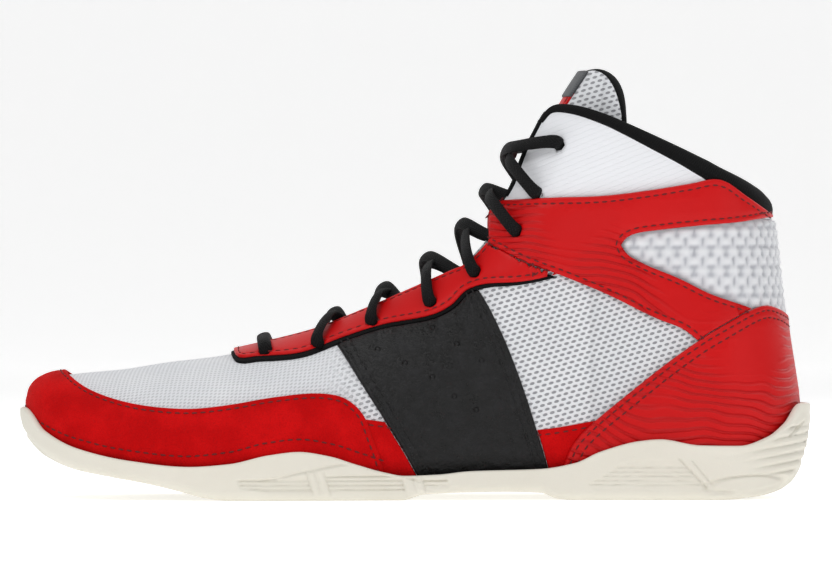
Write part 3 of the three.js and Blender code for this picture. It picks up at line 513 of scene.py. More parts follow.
def plain_mesh(name, points, faces, material, uv=None, shift=SHIFT):
    """A smooth mesh from points in millimetres, with its own surface coordinates."""
    mesh = bpy.data.meshes.new(name)
    placed = (np.asarray(points, float) - (0, shift, 0)) * MM
    mesh.from_pydata(placed.tolist(), [], faces)
    mesh.polygons.foreach_set("use_smooth", [True] * len(mesh.polygons))
    if uv is not None:
        layer = mesh.uv_layers.new(name="surface")
        corner = np.zeros(len(mesh.loops), int)
        mesh.loops.foreach_get("vertex_index", corner)
        layer.data.foreach_set("uv", (np.asarray(uv) * MM)[corner].ravel())
    mesh.materials.append(material)
    made = bpy.data.objects.new(name, mesh)
    bpy.context.collection.objects.link(made)
    return made


def shell(name, skin, low, high, material, uv=(U, V)):
    """A closed layer over the form, between a lower and an upper height that may vary."""
    points, normal = skin.rows[:, :3], skin.rows[:, NX : NZ + 1]
    count = len(points)
    low, high = (np.broadcast_to(np.asarray(h, float), (count,))[:, None] for h in (low, high))
    edge = {}
    for face in skin.faces:
        for k, i in enumerate(face):
            j = face[(k + 1) % len(face)]
            if (j, i) in edge:
                del edge[(j, i)]
            else:
                edge[(i, j)] = True
    faces = list(skin.faces)
    faces += [tuple(i + count for i in reversed(face)) for face in skin.faces]
    faces += [(j, i, i + count, j + count) for i, j in edge]
    lengths = skin.rows[:, list(uv)]
    return plain_mesh(name, np.vstack([points + normal * high, points + normal * low]), faces, material,
                      np.vstack([lengths, lengths]))


def outline(edge, closing, steps=5):
    """A pattern seen from the side: positive inside, and measured from its drawn edge only."""
    drawn = spline(edge, steps)
    ring = np.vstack([drawn, np.array(closing, float).reshape(-1, 2)])

    def field(points):
        x, z = points[:, 0], points[:, 2]
        inside = np.zeros(len(x), bool)
        for (x0, z0), (x1, z1) in zip(ring, np.roll(ring, -1, 0)):
            if z0 != z1:
                crosses = (z0 > z) != (z1 > z)
                inside ^= crosses & (x < x0 + (z - z0) * (x1 - x0) / (z1 - z0))
        nearest = np.full(len(x), 1e9)
        for (x0, z0), (x1, z1) in zip(drawn[:-1], drawn[1:]):
            dx, dz = x1 - x0, z1 - z0
            t = np.clip(((x - x0) * dx + (z - z0) * dz) / (dx * dx + dz * dz), 0, 1)
            nearest = np.minimum(nearest, (x - x0 - t * dx) ** 2 + (z - z0 - t * dz) ** 2)
        return np.where(inside, 1, -1) * np.sqrt(nearest)

    return field


def spline(points, steps):
    """A smooth curve through points, evenly timed by the square root of their spacing."""
    p = np.array(points, float)
    if steps == 1 or len(p) < 3:
        return p
    p = np.vstack([2 * p[0] - p[1], p, 2 * p[-1] - p[-2]])
    knot = np.concatenate([[0], np.cumsum(np.sqrt(np.linalg.norm(np.diff(p, axis=0), axis=1)))])
    out = []
    for k in range(1, len(p) - 2):
        for t in knot[k] + (knot[k + 1] - knot[k]) * np.arange(steps) / steps:
            def blend(a, b, i, j):
                return a * (knot[j] - t) / (knot[j] - knot[i]) + b * (t - knot[i]) / (knot[j] - knot[i])
            a1, a2, a3 = (blend(p[k - 1 + n], p[k + n], k - 1 + n, k + n) for n in range(3))
            b1, b2 = blend(a1, a2, k - 1, k + 1), blend(a2, a3, k, k + 2)
            out.append(blend(b1, b2, k, k + 1))
    return np.array(out + [p[-2]])


# ---- Patterns of the upper, seen from the side ----
# Each cut piece is a region bounded by these lines; the throat is cut from above over the instep.
COLLAR = [(140, 104), (131, 108.5), (126.5, 112), (121, 115), (110, 120), (95, 127.5), (78, 135.5), (68, 139.8),
          (58, 142.8), (50.8, 142.9), (46.8, 138.6)]
THROAT = [(46.8, 138.6), (41.2, 127.3), (36.5, 115), (32.6, 108.5)]
STRAP_NOSE = [(32.6, 108.5), (28, 103.2), (24.1, 95.8)]
THROAT_WIDTH = [(-54, 0), (-53, 4.5), (-50, 7.2), (-44, 9), (-36, 10), (-20, 11.5), (-8, 14), (4, 18), (14, 22),
                (21, 25), (29, 26)]
FAR, CLEAR, SEAM_DEPTH, MESH = 170.0, 0.3, 0.22, 0.9


def throat_field(points):
    """Distance outside the throat as it is cut from above."""
    return np.abs(points[:, 1] - along(CENTRE, points[:, 0])) - np.where(
        points[:, 0] > THROAT_WIDTH[-1][0], -9, along(THROAT_WIDTH, points[:, 0])
    ) + np.where(points[:, 0] < THROAT_WIDTH[0][0], THROAT_WIDTH[0][0] - points[:, 0], 0)


collar_edge = spline(COLLAR, 4)
throat_edge = np.vstack([spline(THROAT, 4), spline(STRAP_NOSE, 3)[1:]])
body_field = outline(np.vstack([collar_edge, throat_edge[1:]]), [(20, 100), (-FAR, 100), (-FAR, -FAR), (FAR, -FAR),
                                                                (FAR, 104)], 1)

EYELETS_SEEN = [(-55.2, 54.6), (-36, 57.6), (-16.1, 65.6), (5.3, 72.6), (21.5, 83.6), (36.6, 98.6), (43.6, 112.6),
                (51.8, 130.4)]
EYELET_RADIUS = 2.3
OVERLAY_TOP = 3.1


def surface_at(side, x, z, height=0.0):
    """A place on the form seen from the side, raised along the normal, and that normal."""
    x, z = np.asarray(x, float), np.asarray(z, float)
    step = 0.2
    slope_x = (half_width(x + step, z) - half_width(x - step, z)) / (2 * step)
    slope_z = (half_width(x, z + step) - half_width(x, z - step)) / (2 * step)
    normal = np.stack([-slope_x, np.full_like(slope_x, side), -slope_z], -1)
    normal /= np.linalg.norm(normal, axis=-1, keepdims=True)
    point = np.stack([x, along(CENTRE, x) + side * half_width(x, z), z], -1)
    return point + normal * height, normal


eyelets = []
for seen_x, seen_z in EYELETS_SEEN:
    x, z = seen_x, seen_z - OVERLAY_TOP
    for _ in range(8):
        point, _normal = surface_at(1, x, z, OVERLAY_TOP)
        x, z = x + 0.7 * (seen_x - point[0]), z + 0.7 * (seen_z - point[2])
    eyelets.append((x, z))
eyelet_axes = [surface_at(side, x, z) for side in (-1, 1) for x, z in eyelets]


def eyelet_field(points):
    """Distance outside the punched holes."""
    nearest = np.full(len(points), 99.0)
    for centre, normal in eyelet_axes:
        away = points - centre
        axial = away @ normal
        radial = np.sqrt(np.maximum((away**2).sum(1) - axial**2, 0))
        nearest = np.minimum(nearest, np.where(np.abs(axial) < 12, radial, 99) - EYELET_RADIUS)
    return nearest


upper = Skin.on_form()
upper.measure("body", body_field).measure("throat", throat_field)
upper.keep("body").keep("throat")
holed = upper.copy().measure("eyelet", eyelet_field).keep("eyelet")


def cut(source, fields):
    """A piece of the upper: the part of a skin that lies inside every field."""
    skin = source.copy()
    for name, field in fields.items():
        skin.measure(name, field).keep(name)
    return skin


def rounded(skin, low, high, edge, seams=()):
    """Heights of a cut layer: rounded over its rim, and pulled down along each seam."""
    skin.add("rim", np.min([skin.get(name) for name in skin.names], 0))
    for share in (0.1, 0.4, 1.0):
        skin.split("rim", edge * share)
    for name, level in seams:
        for apart in (-0.5, 0, 0.5):
            skin.split(name, level + apart)
    share = np.clip(skin.get("rim") / edge, 0, 1)
    height = low + 0.15 + (high - low - 0.15) * np.sqrt(1 - (1 - share) ** 2)
    for name, level in seams:
        height -= SEAM_DEPTH * np.exp(-(((skin.get(name) - level) / 0.42) ** 2)) * share
    return height


def side_field(side, margin=0.0):
    """One side of the boot, from the line down its middle."""
    return lambda points: side * (points[:, 1] - along(CENTRE, points[:, 0])) - margin


# ---- Forefoot knit ----
# A white engineered mesh covers the toes and the midfoot. It is woven tight with a fine diagonal over the toes,
# and opens into staggered slots along the midfoot. It is lasted wet over the form and stitched under the overlays.
KNIT_SPLIT = [(18, 110), (34, 98), (50, 93), (68, 88), (84, 78), (98, 66), (112, 40), (118, -10)]


def slots(paint, u, v, pitch_u, pitch_v, long, tall):
    """Staggered rows of small oval openings."""
    row = paint.floor(v / pitch_v)
    across = paint.fraction(u / pitch_u + row * 0.5) - 0.5
    upward = paint.fraction(v / pitch_v) - 0.5
    reach = across * across / long**2 + upward * upward / tall**2
    return 1 - paint.ease(reach, 0.55, 1.35)


def mesh_paint():
    paint = Paint("mesh_white", 0.85, Sheen_Weight=0.25, Sheen_Roughness=0.5)
    u, v, _ = paint.split(paint.surface())
    u, v = u * 1000, v * 1000
    x, _, z = paint.split(paint.place())
    side_u, side_v = (x * 0.96 + z * 0.28) * 1000, (z * 0.96 - x * 0.28) * 1000
    tight_u, tight_v = u * 0.8 + v * 0.6, v * 0.8 - u * 0.6
    tight = slots(paint, tight_u, tight_v, 2.1, 1.15, 0.3, 0.3)
    wide = slots(paint, side_u, side_v, 2.7, 1.75, 0.33, 0.27)
    opened = paint.ease(x, -0.038, -0.012)
    holes = tight * 0.42 * (1 - opened) + wide * opened
    yarn = paint.sine(tight_u * 12.0) * 0.5 + 0.5
    cloud = paint.noise(60, 2)
    tone = paint.mix(cloud, (0.70, 0.715, 0.75, 1), (0.80, 0.81, 0.83, 1))
    color = paint.mix(holes * 0.78, tone, (0.17, 0.175, 0.19, 1))
    return paint.finish(color, None, (1 - holes) * 1.0 + yarn * 0.12, 0.0005, 0.9)


mesh_white = mesh_paint()
knit = cut(holed, {"split": outline(KNIT_SPLIT, [(-FAR, -10), (-FAR, 110)])})
made = shell("forefoot_knit", knit, 0, MESH, mesh_white)
settle(made, "forefoot_knit")

# ---- Heel mesh ----
# Behind the ankle the mesh is knitted with rows of small stuffed cells, which show in the window of the strap.
# The cells stand about a millimetre proud, and each row is half a cell out of step with the next.
CELL_LONG, CELL_TALL, CELL_RISE = 6.3, 3.6, 1.25
WINDOW = [(150, 104.2), (128, 103.2), (117, 101.6), (104, 100.4), (91, 99), (79, 97), (75, 94), (76.5, 90.5),
          (84, 86), (96, 81), (108, 75), (119.5, 70.6), (150, 58)]
PANEL_SPLIT = [(25, 104.5), (53, 106.5), (87, 109.4), (108, 113), (118, 110), (124, 104), (150, 101)]


def cells(skin):
    """How far each point of the stuffed mesh stands up, from 0 in the dips to 1 on the crowns."""
    u, w = skin.rows[:, U], skin.rows[:, W]
    row = np.floor(w / CELL_TALL)
    across = np.abs((u / CELL_LONG + 0.5 * (row % 2)) % 1 - 0.5) * 2
    upward = np.abs((w / CELL_TALL) % 1 - 0.5) * 2
    return np.sqrt(np.clip(1 - across**2 - 0.8 * upward**2, 0, 1))


def puffy_paint():
    paint = Paint("mesh_puffy", 0.8, Sheen_Weight=0.3)
    u, w, _ = paint.split(paint.surface())
    fine = slots(paint, u * 1000, w * 1000, 0.9, 0.6, 0.3, 0.3)
    # Painted shade and light: the colour follows each cell's rise, darker in the dips between the cells and
    # lighter on their crowns.
    rise = paint.node("ShaderNodeAttribute", {"attribute_name": "rise"}, [], 2)
    color = paint.mix(rise, (0.5, 0.51, 0.55, 1), (0.8, 0.81, 0.83, 1))
    color = paint.mix(fine * 0.18, color, (0.3, 0.31, 0.33, 1))
    return paint.finish(color, None, 1 - fine, 0.0002, 0.6)


heel_skin = Skin.on_form(toe=1, foot=360, heel=110, levels=150, low_x=20, low_z=9, high_z=116)
heel_skin.measure("body", body_field).keep("body")
not_knit = outline(KNIT_SPLIT, [(-FAR, -10), (-FAR, 110)])
heel_skin.measure("knit", lambda points: -not_knit(points) - CLEAR).keep("knit")
panel_line = outline(PANEL_SPLIT, [(170, 101), (170, 190), (0, 190), (0, 104)])
heel_skin.measure("panel", lambda points: -panel_line(points) - CLEAR).keep("panel")
heel_skin.measure("window", outline(WINDOW, []))
in_window = smooth(-0.5, 2.5, heel_skin.get("window"))
lift = cells(heel_skin) * in_window
heel_skin.add("lift", lift)
heel_knit = shell("heel_knit", heel_skin, 0, 0.8 + 0.5 * in_window + CELL_RISE * lift, puffy_paint(), (U, W))
# The rise is kept on the mesh for the material, which paints shade into the dips and light onto the crowns from
# it.
layer = heel_knit.data.attributes.new("rise", "FLOAT", "POINT")
layer.data.foreach_set("value", np.tile(lift, 2))
settle(heel_knit, "heel_knit")

# ---- Collar panels ----
# The ankle above the strap is a smooth white cloth over thin foam, woven with faint slanting ripstop lines.
# One panel on each side runs from the throat to the back of the heel under the black binding.
def ripstop_paint():
    paint = Paint("ripstop_white", 0.6, Sheen_Weight=0.2)
    x, _, z = paint.split(paint.place())
    u, v = x * 1000, z * 1000
    slant = paint.distance(paint.fraction((v * 0.927 - u * 0.375) / 1.9) - 0.5)
    cord = 1 - paint.ease(slant, 0.02, 0.16)
    weave = paint.sine(u * 11) * paint.sine(v * 11)
    color = paint.mix(cord * 0.16, (0.80, 0.81, 0.84, 1), (0.64, 0.65, 0.69, 1))
    return paint.finish(color, None, cord * -0.6 + weave * 0.15 + paint.noise(220) * 0.5, 0.00022, 0.7)


ripstop_white = ripstop_paint()
for name, side in SIDES:
    skin = cut(holed, {"knit": lambda points: -not_knit(points) - CLEAR, "panel": panel_line,
                       "side": side_field(side, 0.15)})
    swell = MESH + 0.7 * smooth(0, 14, np.minimum(skin.get("body"), skin.get("panel")))
    made = shell(f"collar_panel_{name}", skin, 0, swell, ripstop_white)
    settle(made, f"collar_panel_{name}")

# ---- Toe guard ----
# A bumper of red synthetic suede wraps the toe from side to side and is cemented down into the sole.
# Its upper edge is stitched two millimetres in, and a second seam follows the sole.
GUARD_EDGE = [(-140, 57), (-132, 47.4), (-122.8, 40.2), (-113.7, 36.3), (-100.9, 33.3), (-82.6, 32), (-68, 33.4),
              (-51.5, 36.2), (-35.1, 37.8), (-26, 36.3), (-19.7, 31), (-16, 22), (-12.6, 12.6), (-12, 2)]
SOLE_EDGE = [(-145.4, 33.6), (-137.4, 25.6), (-124.6, 19.2), (-104.5, 14.6), (-82.6, 12.4), (-68, 13.4),
             (-53.4, 16.6), (-42.4, 17.8), (-31.4, 16.2), (-22.3, 13.4), (-11, 10.2), (-4, 9), (8, 9.4),
             (19.7, 10.6), (45.3, 11.4), (58.1, 13.6), (67.3, 17.7), (81.9, 21.6), (89.2, 22.2), (103.8, 20),
             (118.4, 19.8), (129.4, 22.9), (137, 28.3), (142.8, 35)]
FIRST_LOW, FIRST_TOP, SECOND_LOW, SECOND_TOP = 1.0, 2.0, 2.1, 3.1
STITCH_LONG, STITCH_PITCH, STITCH_THICK = 2.1, 3.1, 0.34
SEAM_IN, STITCH_SUNK = 1.9, 0.16


def stitch_tree():
    """A node group that lays one thread stitch after another along each seam line."""
    tree = bpy.data.node_groups.new("stitches", "GeometryNodeTree")
    inputs = {}
    tree.interface.new_socket("Geometry", in_out="INPUT", socket_type="NodeSocketGeometry")
    for label, kind in (("Pitch", "NodeSocketFloat"), ("Length", "NodeSocketFloat"),
                        ("Thickness", "NodeSocketFloat"), ("Thread", "NodeSocketMaterial")):
        inputs[label] = tree.interface.new_socket(label, in_out="INPUT", socket_type=kind).identifier
    tree.interface.new_socket("Geometry", in_out="OUTPUT", socket_type="NodeSocketGeometry")

    def node(kind, values, **settings):
        made = tree.nodes.new(kind)
        for key, value in settings.items():
            setattr(made, key, value)
        for key, value in values.items():
            if isinstance(value, bpy.types.NodeSocket):
                tree.links.new(value, made.inputs[key])
            else:
                made.inputs[key].default_value = value
        return made

    given = node("NodeGroupInput", {})
    lines = node("GeometryNodeMeshToCurve", {"Mesh": given.outputs["Geometry"]})
    evened = node("GeometryNodeResampleCurve", {"Curve": lines.outputs[0], "Length": given.outputs["Pitch"]},
                  mode="LENGTH")
    heading = node("GeometryNodeInputTangent", {})
    turned = node("FunctionNodeAlignRotationToVector", {"Vector": heading.outputs[0]}, axis="Z")
    bead = node("GeometryNodeMeshUVSphere", {"Segments": 6, "Rings": 5, "Radius": 0.5})
    size = node("ShaderNodeCombineXYZ", {"X": given.outputs["Thickness"], "Y": given.outputs["Thickness"],
                                         "Z": given.outputs["Length"]})
    laid = node("GeometryNodeInstanceOnPoints", {"Points": evened.outputs[0], "Instance": bead.outputs["Mesh"],
                                                 "Rotation": turned.outputs[0], "Scale": size.outputs[0]})
    real = node("GeometryNodeRealizeInstances", {"Geometry": laid.outputs[0]})
    soft = node("GeometryNodeSetShadeSmooth", {"Geometry": real.outputs[0], "Shade Smooth": True})
    dyed = node("GeometryNodeSetMaterial", {"Geometry": soft.outputs[0], "Material": given.outputs["Thread"]})
    node("NodeGroupOutput", {"Geometry": dyed.outputs[0]})
    return tree, inputs


stitches, stitch_inputs = stitch_tree()


def sew(name, skin, seams, height, thread, body="root"):
    """Thread along the seams of a cut piece, as a piece of its own."""
    chains = sum((skin.line(seam, level, height) for seam, level in seams), [])
    points = np.vstack(chains)
    ends = np.cumsum([len(chain) for chain in chains])
    links = [(k, k + 1) for k in range(len(points) - 1) if k + 1 not in ends]
    mesh = bpy.data.meshes.new(f"{name}_lines")
    mesh.from_pydata(((points - (0, SHIFT, 0)) * MM).tolist(), links, [])
    made = bpy.data.objects.new(name, mesh)
    bpy.context.collection.objects.link(made)
    maker = made.modifiers.new("stitches", "NODES")
    maker.node_group = stitches
    for label, value in (("Pitch", STITCH_PITCH * MM), ("Length", STITCH_LONG * MM),
                         ("Thickness", STITCH_THICK * 2 * MM), ("Thread", thread)):
        maker[stitch_inputs[label]] = value
    ready = made.evaluated_get(bpy.context.evaluated_depsgraph_get())
    sewn = bpy.data.meshes.new_from_object(ready)
    made.modifiers.clear()
    made.data = sewn
    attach(made, body)


def overlay(stem, end, skin, low, top, edge, seams, material, thread, stitch_at):
    """A cut layer of the upper with a rounded rim, and the stitches along its seams."""
    height = rounded(skin, low, top, edge, seams)
    settle(shell(stem + end, skin, low, height, material), stem + end)
    sew(f"{stem}_stitches{end}", skin, seams, stitch_at, thread)


def suede_paint():
    paint = Paint("suede_red", 0.95, Specular_IOR_Level=0.1, Sheen_Weight=0.12, Sheen_Roughness=0.6)
    paint.shader.inputs["Sheen Tint"].default_value = (1, 0.08, 0.06, 1)
    nap = paint.noise(1500, 3)
    brushed = paint.noise(90, 3)
    color = paint.mix(paint.ease(brushed, 0.35, 0.7), (0.48, 0.001, 0.002, 1), (0.60, 0.003, 0.004, 1))
    color = paint.mix(paint.ease(nap, 0.45, 0.75) * 0.35, color, (0.30, 0.002, 0.004, 1))
    return paint.finish(color, None, nap + paint.noise(5200, 2) * 0.6, 0.00028, 0.8)


def thread_paint(name, color):
    return Paint(name, 0.75, Base_Color=(*color, 1)).finish()


suede_red = suede_paint()
thread_red = thread_paint("thread_red", (0.13, 0.002, 0.003))
guard_field = outline(GUARD_EDGE, [(-FAR, -20), (-FAR, 57)])
guard = cut(upper, {"guard": guard_field})
guard.measure("sole", lambda points: points[:, 2] - along(SOLE_EDGE, points[:, 0]) + 1.5)
overlay("toe_guard", "", guard, SECOND_LOW, SECOND_TOP, 1.0, (("guard", 2.0), ("sole", 5.6)), suede_red,
        thread_red, SECOND_TOP - 0.12)


# ---- Eyestay ----
# The lace stays are smooth red synthetic, one piece round the front of the throat with five eyelets on each side.
# A single seam runs round it two millimetres in, and a black tape shows as a thin edge below it.
EYESTAY_LOWER = [(-68, 53.6), (-65, 50), (-58, 50.5), (-42, 52), (-27, 57.5), (-12, 62.5), (7, 66.7), (14, 70.5),
                 (19, 75.5), (25, 78), (38, 79.5), (58, 84)]
STRAP_LOWER = [(24.1, 95.8), (26, 94), (31, 91.2), (41, 86.3), (53, 82), (70, 75), (87, 66.5), (98, 62),
               (103.5, 57.6)]
eyestay_field = outline(EYESTAY_LOWER, [(44, 85), (33, 90.6), (25.5, 93.5), (18, 110), (-75, 110)])
strap_edge = np.vstack([spline(STRAP_NOSE, 3), spline(STRAP_LOWER, 4)[1:]])
under_strap = outline(strap_edge, [(103.5, -20), (FAR, -20), (FAR, 190), (32.6, 190)], 1)


def leather_paint(name, waves):
    """Smooth red synthetic; where waves is above zero, it carries embossed flowing lines."""
    paint = Paint(name, 0.45, Specular_IOR_Level=0.22)
    cloud = paint.noise(38, 2)
    color = paint.mix(cloud, (0.50, 0.0, 0.001, 1), (0.60, 0.001, 0.002, 1))
    height = paint.noise(2600, 2) * 0.12 + paint.noise(420, 2) * 0.1
    if waves:
        x, _, z = paint.split(paint.place())
        warp = paint.noise(17, 1.5) * 13 + paint.noise(48, 1) * 1.6
        flow = (z * 330 + x * 60) * waves + warp
        crest = 1 - paint.ease(paint.distance(paint.fraction(flow) - 0.5), 0.02, 0.27)
        shown = paint.ease(paint.noise(24, 1), 0.4, 0.52)
        height = height + crest * shown * 1.1
        color = paint.mix(crest * shown * 0.45, color, (0.36, 0.002, 0.004, 1))
    return paint.finish(color, None, height, 0.0005, 0.8)


def tape_paint(name, tone):
    """A narrow woven tape, ribbed across."""
    paint = Paint(name, 0.85, Specular_IOR_Level=0.15)
    u, v, _ = paint.split(paint.surface())
    ribs = paint.sine(u * 7000 + v * 3500) * paint.sine(v * 7000)
    color = paint.mix(ribs * 0.5 + 0.5, (tone * 0.6, tone * 0.6, tone * 0.65, 1),
                      (tone * 1.6, tone * 1.6, tone * 1.7, 1))
    return paint.finish(color, None, ribs, 0.0002, 0.6)


leather_red = leather_paint("leather_red", 0)
leather_waved = leather_paint("leather_waved", 1)
tape_black = tape_paint("tape_black", 0.005)
eyestay = cut(holed, {"stay": eyestay_field, "strap": lambda points: -under_strap(points) - 0.05})
overlay("eyestay", "", eyestay, SECOND_LOW, SECOND_TOP, 0.7, (("stay", SEAM_IN), ("throat", SEAM_IN)), leather_red,
        thread_red, SECOND_TOP - STITCH_SUNK)

backing = cut(holed, {"tape": lambda points: eyestay_field(points) + 1.1, "back": lambda points:
                      3 - eyestay_field(points), "strap": lambda points: -under_strap(points) - 1.2})
made = shell("eyestay_backing", backing, FIRST_LOW, rounded(backing, FIRST_LOW, FIRST_TOP, 0.5), tape_black)
settle(made, "eyestay_backing")

# ---- Ankle strap ----
# A broad red strap runs from the throat round the ankle and forks about a window of stuffed mesh.
# It is the same synthetic with flowing lines pressed into it, single stitched along every edge.
STRAP_TOP = [(30.7, 108.4), (53, 110.4), (70, 111.3), (87, 113.4), (100, 115.5), (110.7, 117)]
HEEL_EDGE = [(150, 56), (139, 63.6), (133, 68.6), (127, 70.8), (122, 69.4), (113, 64.2), (95.6, 52.6), (78, 39),
             (63, 26.6), (57, 19.9), (52, 8)]
heel_field = outline(HEEL_EDGE, [(52, -20), (FAR, -20), (FAR, 56)])
window_field = outline(WINDOW, [])
strap_top = outline(STRAP_TOP + [(120, 110.6), (131, 103.6), (150, 100)], [(FAR, -60), (-FAR, -60), (-FAR, 107)])
STRAP_BACK = 129.6
strap_seams = (("lower", SEAM_IN), ("top", 2.2), ("window", SEAM_IN))
for name, side in SIDES:
    strap = cut(holed, {"lower": under_strap, "top": strap_top, "window": lambda points: -window_field(points),
                        "heel": lambda points: -heel_field(points) - CLEAR, "side": side_field(side, 0.1),
                        "back": lambda points: STRAP_BACK - points[:, 0]})
    overlay("ankle_strap", f"_{name}", strap, SECOND_LOW, SECOND_TOP, 0.7, strap_seams, leather_waved,
            thread_red, SECOND_TOP - STITCH_SUNK)

# ---- Heel cap ----
# The heel is cupped in one moulded red piece from the sole to the back of the ankle, over a stiff counter.
# Its front edge meets the strap and is double stitched, and the same flowing lines are pressed into it.
heel = cut(upper, {"heel": heel_field})
overlay("heel_cap", "", heel, SECOND_LOW, SECOND_TOP, 0.8, (("heel", SEAM_IN), ("heel", 4.6)), leather_waved,
        thread_red, SECOND_TOP - STITCH_SUNK)

# ---- Side saddles ----
# A wide black synthetic panel braces each side of the midfoot from the eyestay down into the sole.
# It is a crinkled gloss, stitched twice along each edge, with a few small vents pressed into its surface.
SADDLE_REAR = [(21, 80), (27, 70), (38, 44), (50, 6)]
SADDLE_FRONT = [(4, 3), (-6, 20), (-20, 42), (-29, 56), (-33, 60.5)]
VENTS = [(-14, 55), (-4, 50), (6, 45), (6, 63), (15, 57), (24, 51), (14, 38), (22, 33)]
VENT_RADIUS = 0.9
saddle_front = outline(SADDLE_FRONT, [(-33, 200), (FAR, 200), (FAR, 3)])
saddle_rear = outline(SADDLE_REAR, [(50, -20), (-FAR, -20), (-FAR, 200), (21, 200)])


def gloss_paint():
    paint = Paint("leather_black", 0.3, Specular_IOR_Level=0.28)
    x, _, z = paint.split(paint.place())
    vents = 0
    for vent_x, vent_z in VENTS:
        reach = ((x * 1000 - vent_x) ** 2 + (z * 1000 - vent_z) ** 2) ** 0.5
        vents = vents + (1 - paint.ease(reach, VENT_RADIUS * 0.7, VENT_RADIUS * 1.2))
    creases = paint.noise(170, 5, roughness=0.7)
    fine = paint.noise(1400, 3)
    color = paint.mix(paint.ease(creases, 0.35, 0.75), (0.002, 0.002, 0.002, 1), (0.009, 0.009, 0.01, 1))
    roughness = paint.ease(creases, 0.2, 0.8) * 0.25 + 0.22
    return paint.finish(color, roughness, creases * 1.6 + fine * 0.25 - vents * 1.3, 0.0011, 0.95)


leather_black = gloss_paint()
thread_black = thread_paint("thread_black", (0.004, 0.004, 0.004))
saddle_seams = (("front", SEAM_IN), ("rear", SEAM_IN), ("front", 4.4), ("rear", 4.4))
for name, side in SIDES:
    saddle = cut(upper, {"front": saddle_front, "rear": saddle_rear, "side": side_field(side),
                         "stay": lambda points: -eyestay_field(points) - 1.3})
    overlay("saddle", f"_{name}", saddle, FIRST_LOW, FIRST_TOP + 0.2, 0.6, saddle_seams, leather_black,
            thread_black, FIRST_TOP + 0.05)

# ---- Foxing ----
# Between the sole and the mesh a low strip of red suede closes each side, ahead of and behind the saddle.
# It is stitched once along its top and lasted under with the knit.
FOXING_TOP = [(-26, 30), (-13.3, 28.6), (-3, 26.8), (17, 24.6), (30.3, 24.7), (48.5, 26), (66, 29)]
foxing_top = outline(FOXING_TOP, [(66, -20), (-26, -20)])
for name, side in SIDES:
    for place, away in (("front", saddle_front), ("rear", saddle_rear)):
        strip = cut(upper, {"top": foxing_top, "side": side_field(side),
                            "saddle": lambda points: -away(points) - 0.2})
        overlay("foxing", f"_{place}_{name}", strip, FIRST_LOW, FIRST_TOP, 0.6, (("top", SEAM_IN),), suede_red,
                thread_red, FIRST_TOP - STITCH_SUNK)


# ---- Outsole ----
# A cream rubber cup is moulded in one piece: a smooth wavy rim, ribbed panels set into the wall, and a low tread.
# It is cemented to the lasted upper and wraps up over the toe and the back of the heel.
SOLE_BOTTOM = [(-146, 28), (-144.6, 24.5), (-141, 20.4), (-135.6, 16), (-124.6, 11.3), (-113.7, 9), (-97.2, 6),
               (-86.3, 3.4), (-76, 0.8), (-68, 0), (-5, 0), (3, 2), (18, 2.8), (34, 3), (46, 2.6), (51, 0.6),
               (57, 0), (112, 0), (124, 1), (132, 2.8), (138, 6.2), (142, 11.5), (144.8, 19), (146, 26)]
CUP_WALL, SOLE_ROUND, TREAD_DEPTH = 2.6, 3.2, 1.0
WALL_ROWS, TREAD_ROWS, RIB_PITCH = 40, 26, 1.6


def notch(value, at, half):
    """A rounded groove: one at its middle and nothing outside it."""
    return np.clip(1 - ((value - at) / half) ** 2, 0, 1)


def ramp(value, low, high, soft=0.5):
    return smooth(low - soft, low + soft, value) * (1 - smooth(high - soft, high + soft, value))


def wall_relief(x, z, top):
    """How far the moulded wall goes in (negative) or out at a place seen from the side."""
    ribs = np.abs(np.cos(np.pi * z / RIB_PITCH)) ** 0.7
    depth = np.zeros_like(x)
    slant = x + 0.28 * (z - 6)
    for left, right, low, high in ((-64, -38.5, 3.2, 7.6), (-32, -4.5, 1.8, 8.8), (3, 12, 3.4, 7.4)):
        lower = low + np.clip(-52 - x, 0, 20) * 0.1
        panel = ramp(slant, left, right, 0.35) * ramp(z, lower, high + 0.035 * (x - left), 0.3)
        depth -= panel * (0.35 + 0.6 * (1 - ribs))
    for across in (-38.5, -35.4, -32, -4.5, -0.5, 3):
        depth -= 0.4 * notch(slant, across, 0.5) * ramp(z, 2.2, 10.5, 0.6)
    crown = along([(-60, 7), (-40, 10.5), (-24, 13.2), (-14, 12.2), (-4, 8.6), (4, 6.6)], x)
    depth -= 0.45 * notch(z, crown, 0.5) * ramp(x, -56, 2, 3)
    heel_top = along([(58, 5), (66, 7.5), (79, 14.6), (97, 15)], x)
    field = ramp(x + 0.93 * (z - 15), 55, 96, 0.4) * ramp(z, 3.6, heel_top, 0.35)
    depth -= field * (0.15 + 0.55 * (1 - ribs) * ramp(z, 5.4, 13.2, 0.3))
    depth -= 0.6 * notch(x + 0.93 * (z - 15), 96.2, 0.6) * ramp(z, 4.2, 15, 0.4)
    depth -= 0.35 * notch(x + 0.83 * (z - 14.6), 100.6, 0.4) * ramp(z, 5.2, 14.6, 0.4)
    pad = ((x - 121) / 14.6) ** 2 + ((z - 5.9 - 0.06 * (x - 121)) / 2.9) ** 2
    depth -= 0.7 * np.clip(1 - ((np.sqrt(pad) - 1) / 0.2) ** 2, 0, 1)
    wrap = ramp(z, 7 + np.clip(134 - x, 0, 30) * 0.42, 27, 0.8) * smooth(116, 133, x) * (pad > 1.3)
    depth -= wrap * 0.85 * (1 - np.abs(np.cos(np.pi * (z - 0.16 * (x - 120)) / 3.1)) ** 0.6)
    depth -= 0.8 * notch(z - 0.9 * (x - 140), 25.5, 0.8) * ramp(x, 137.5, 143, 0.4)
    lip = notch(z, top - 3.4, 1.4) * smooth(100, 116, x) * 0.12
    return 1.3 * (depth - lip)


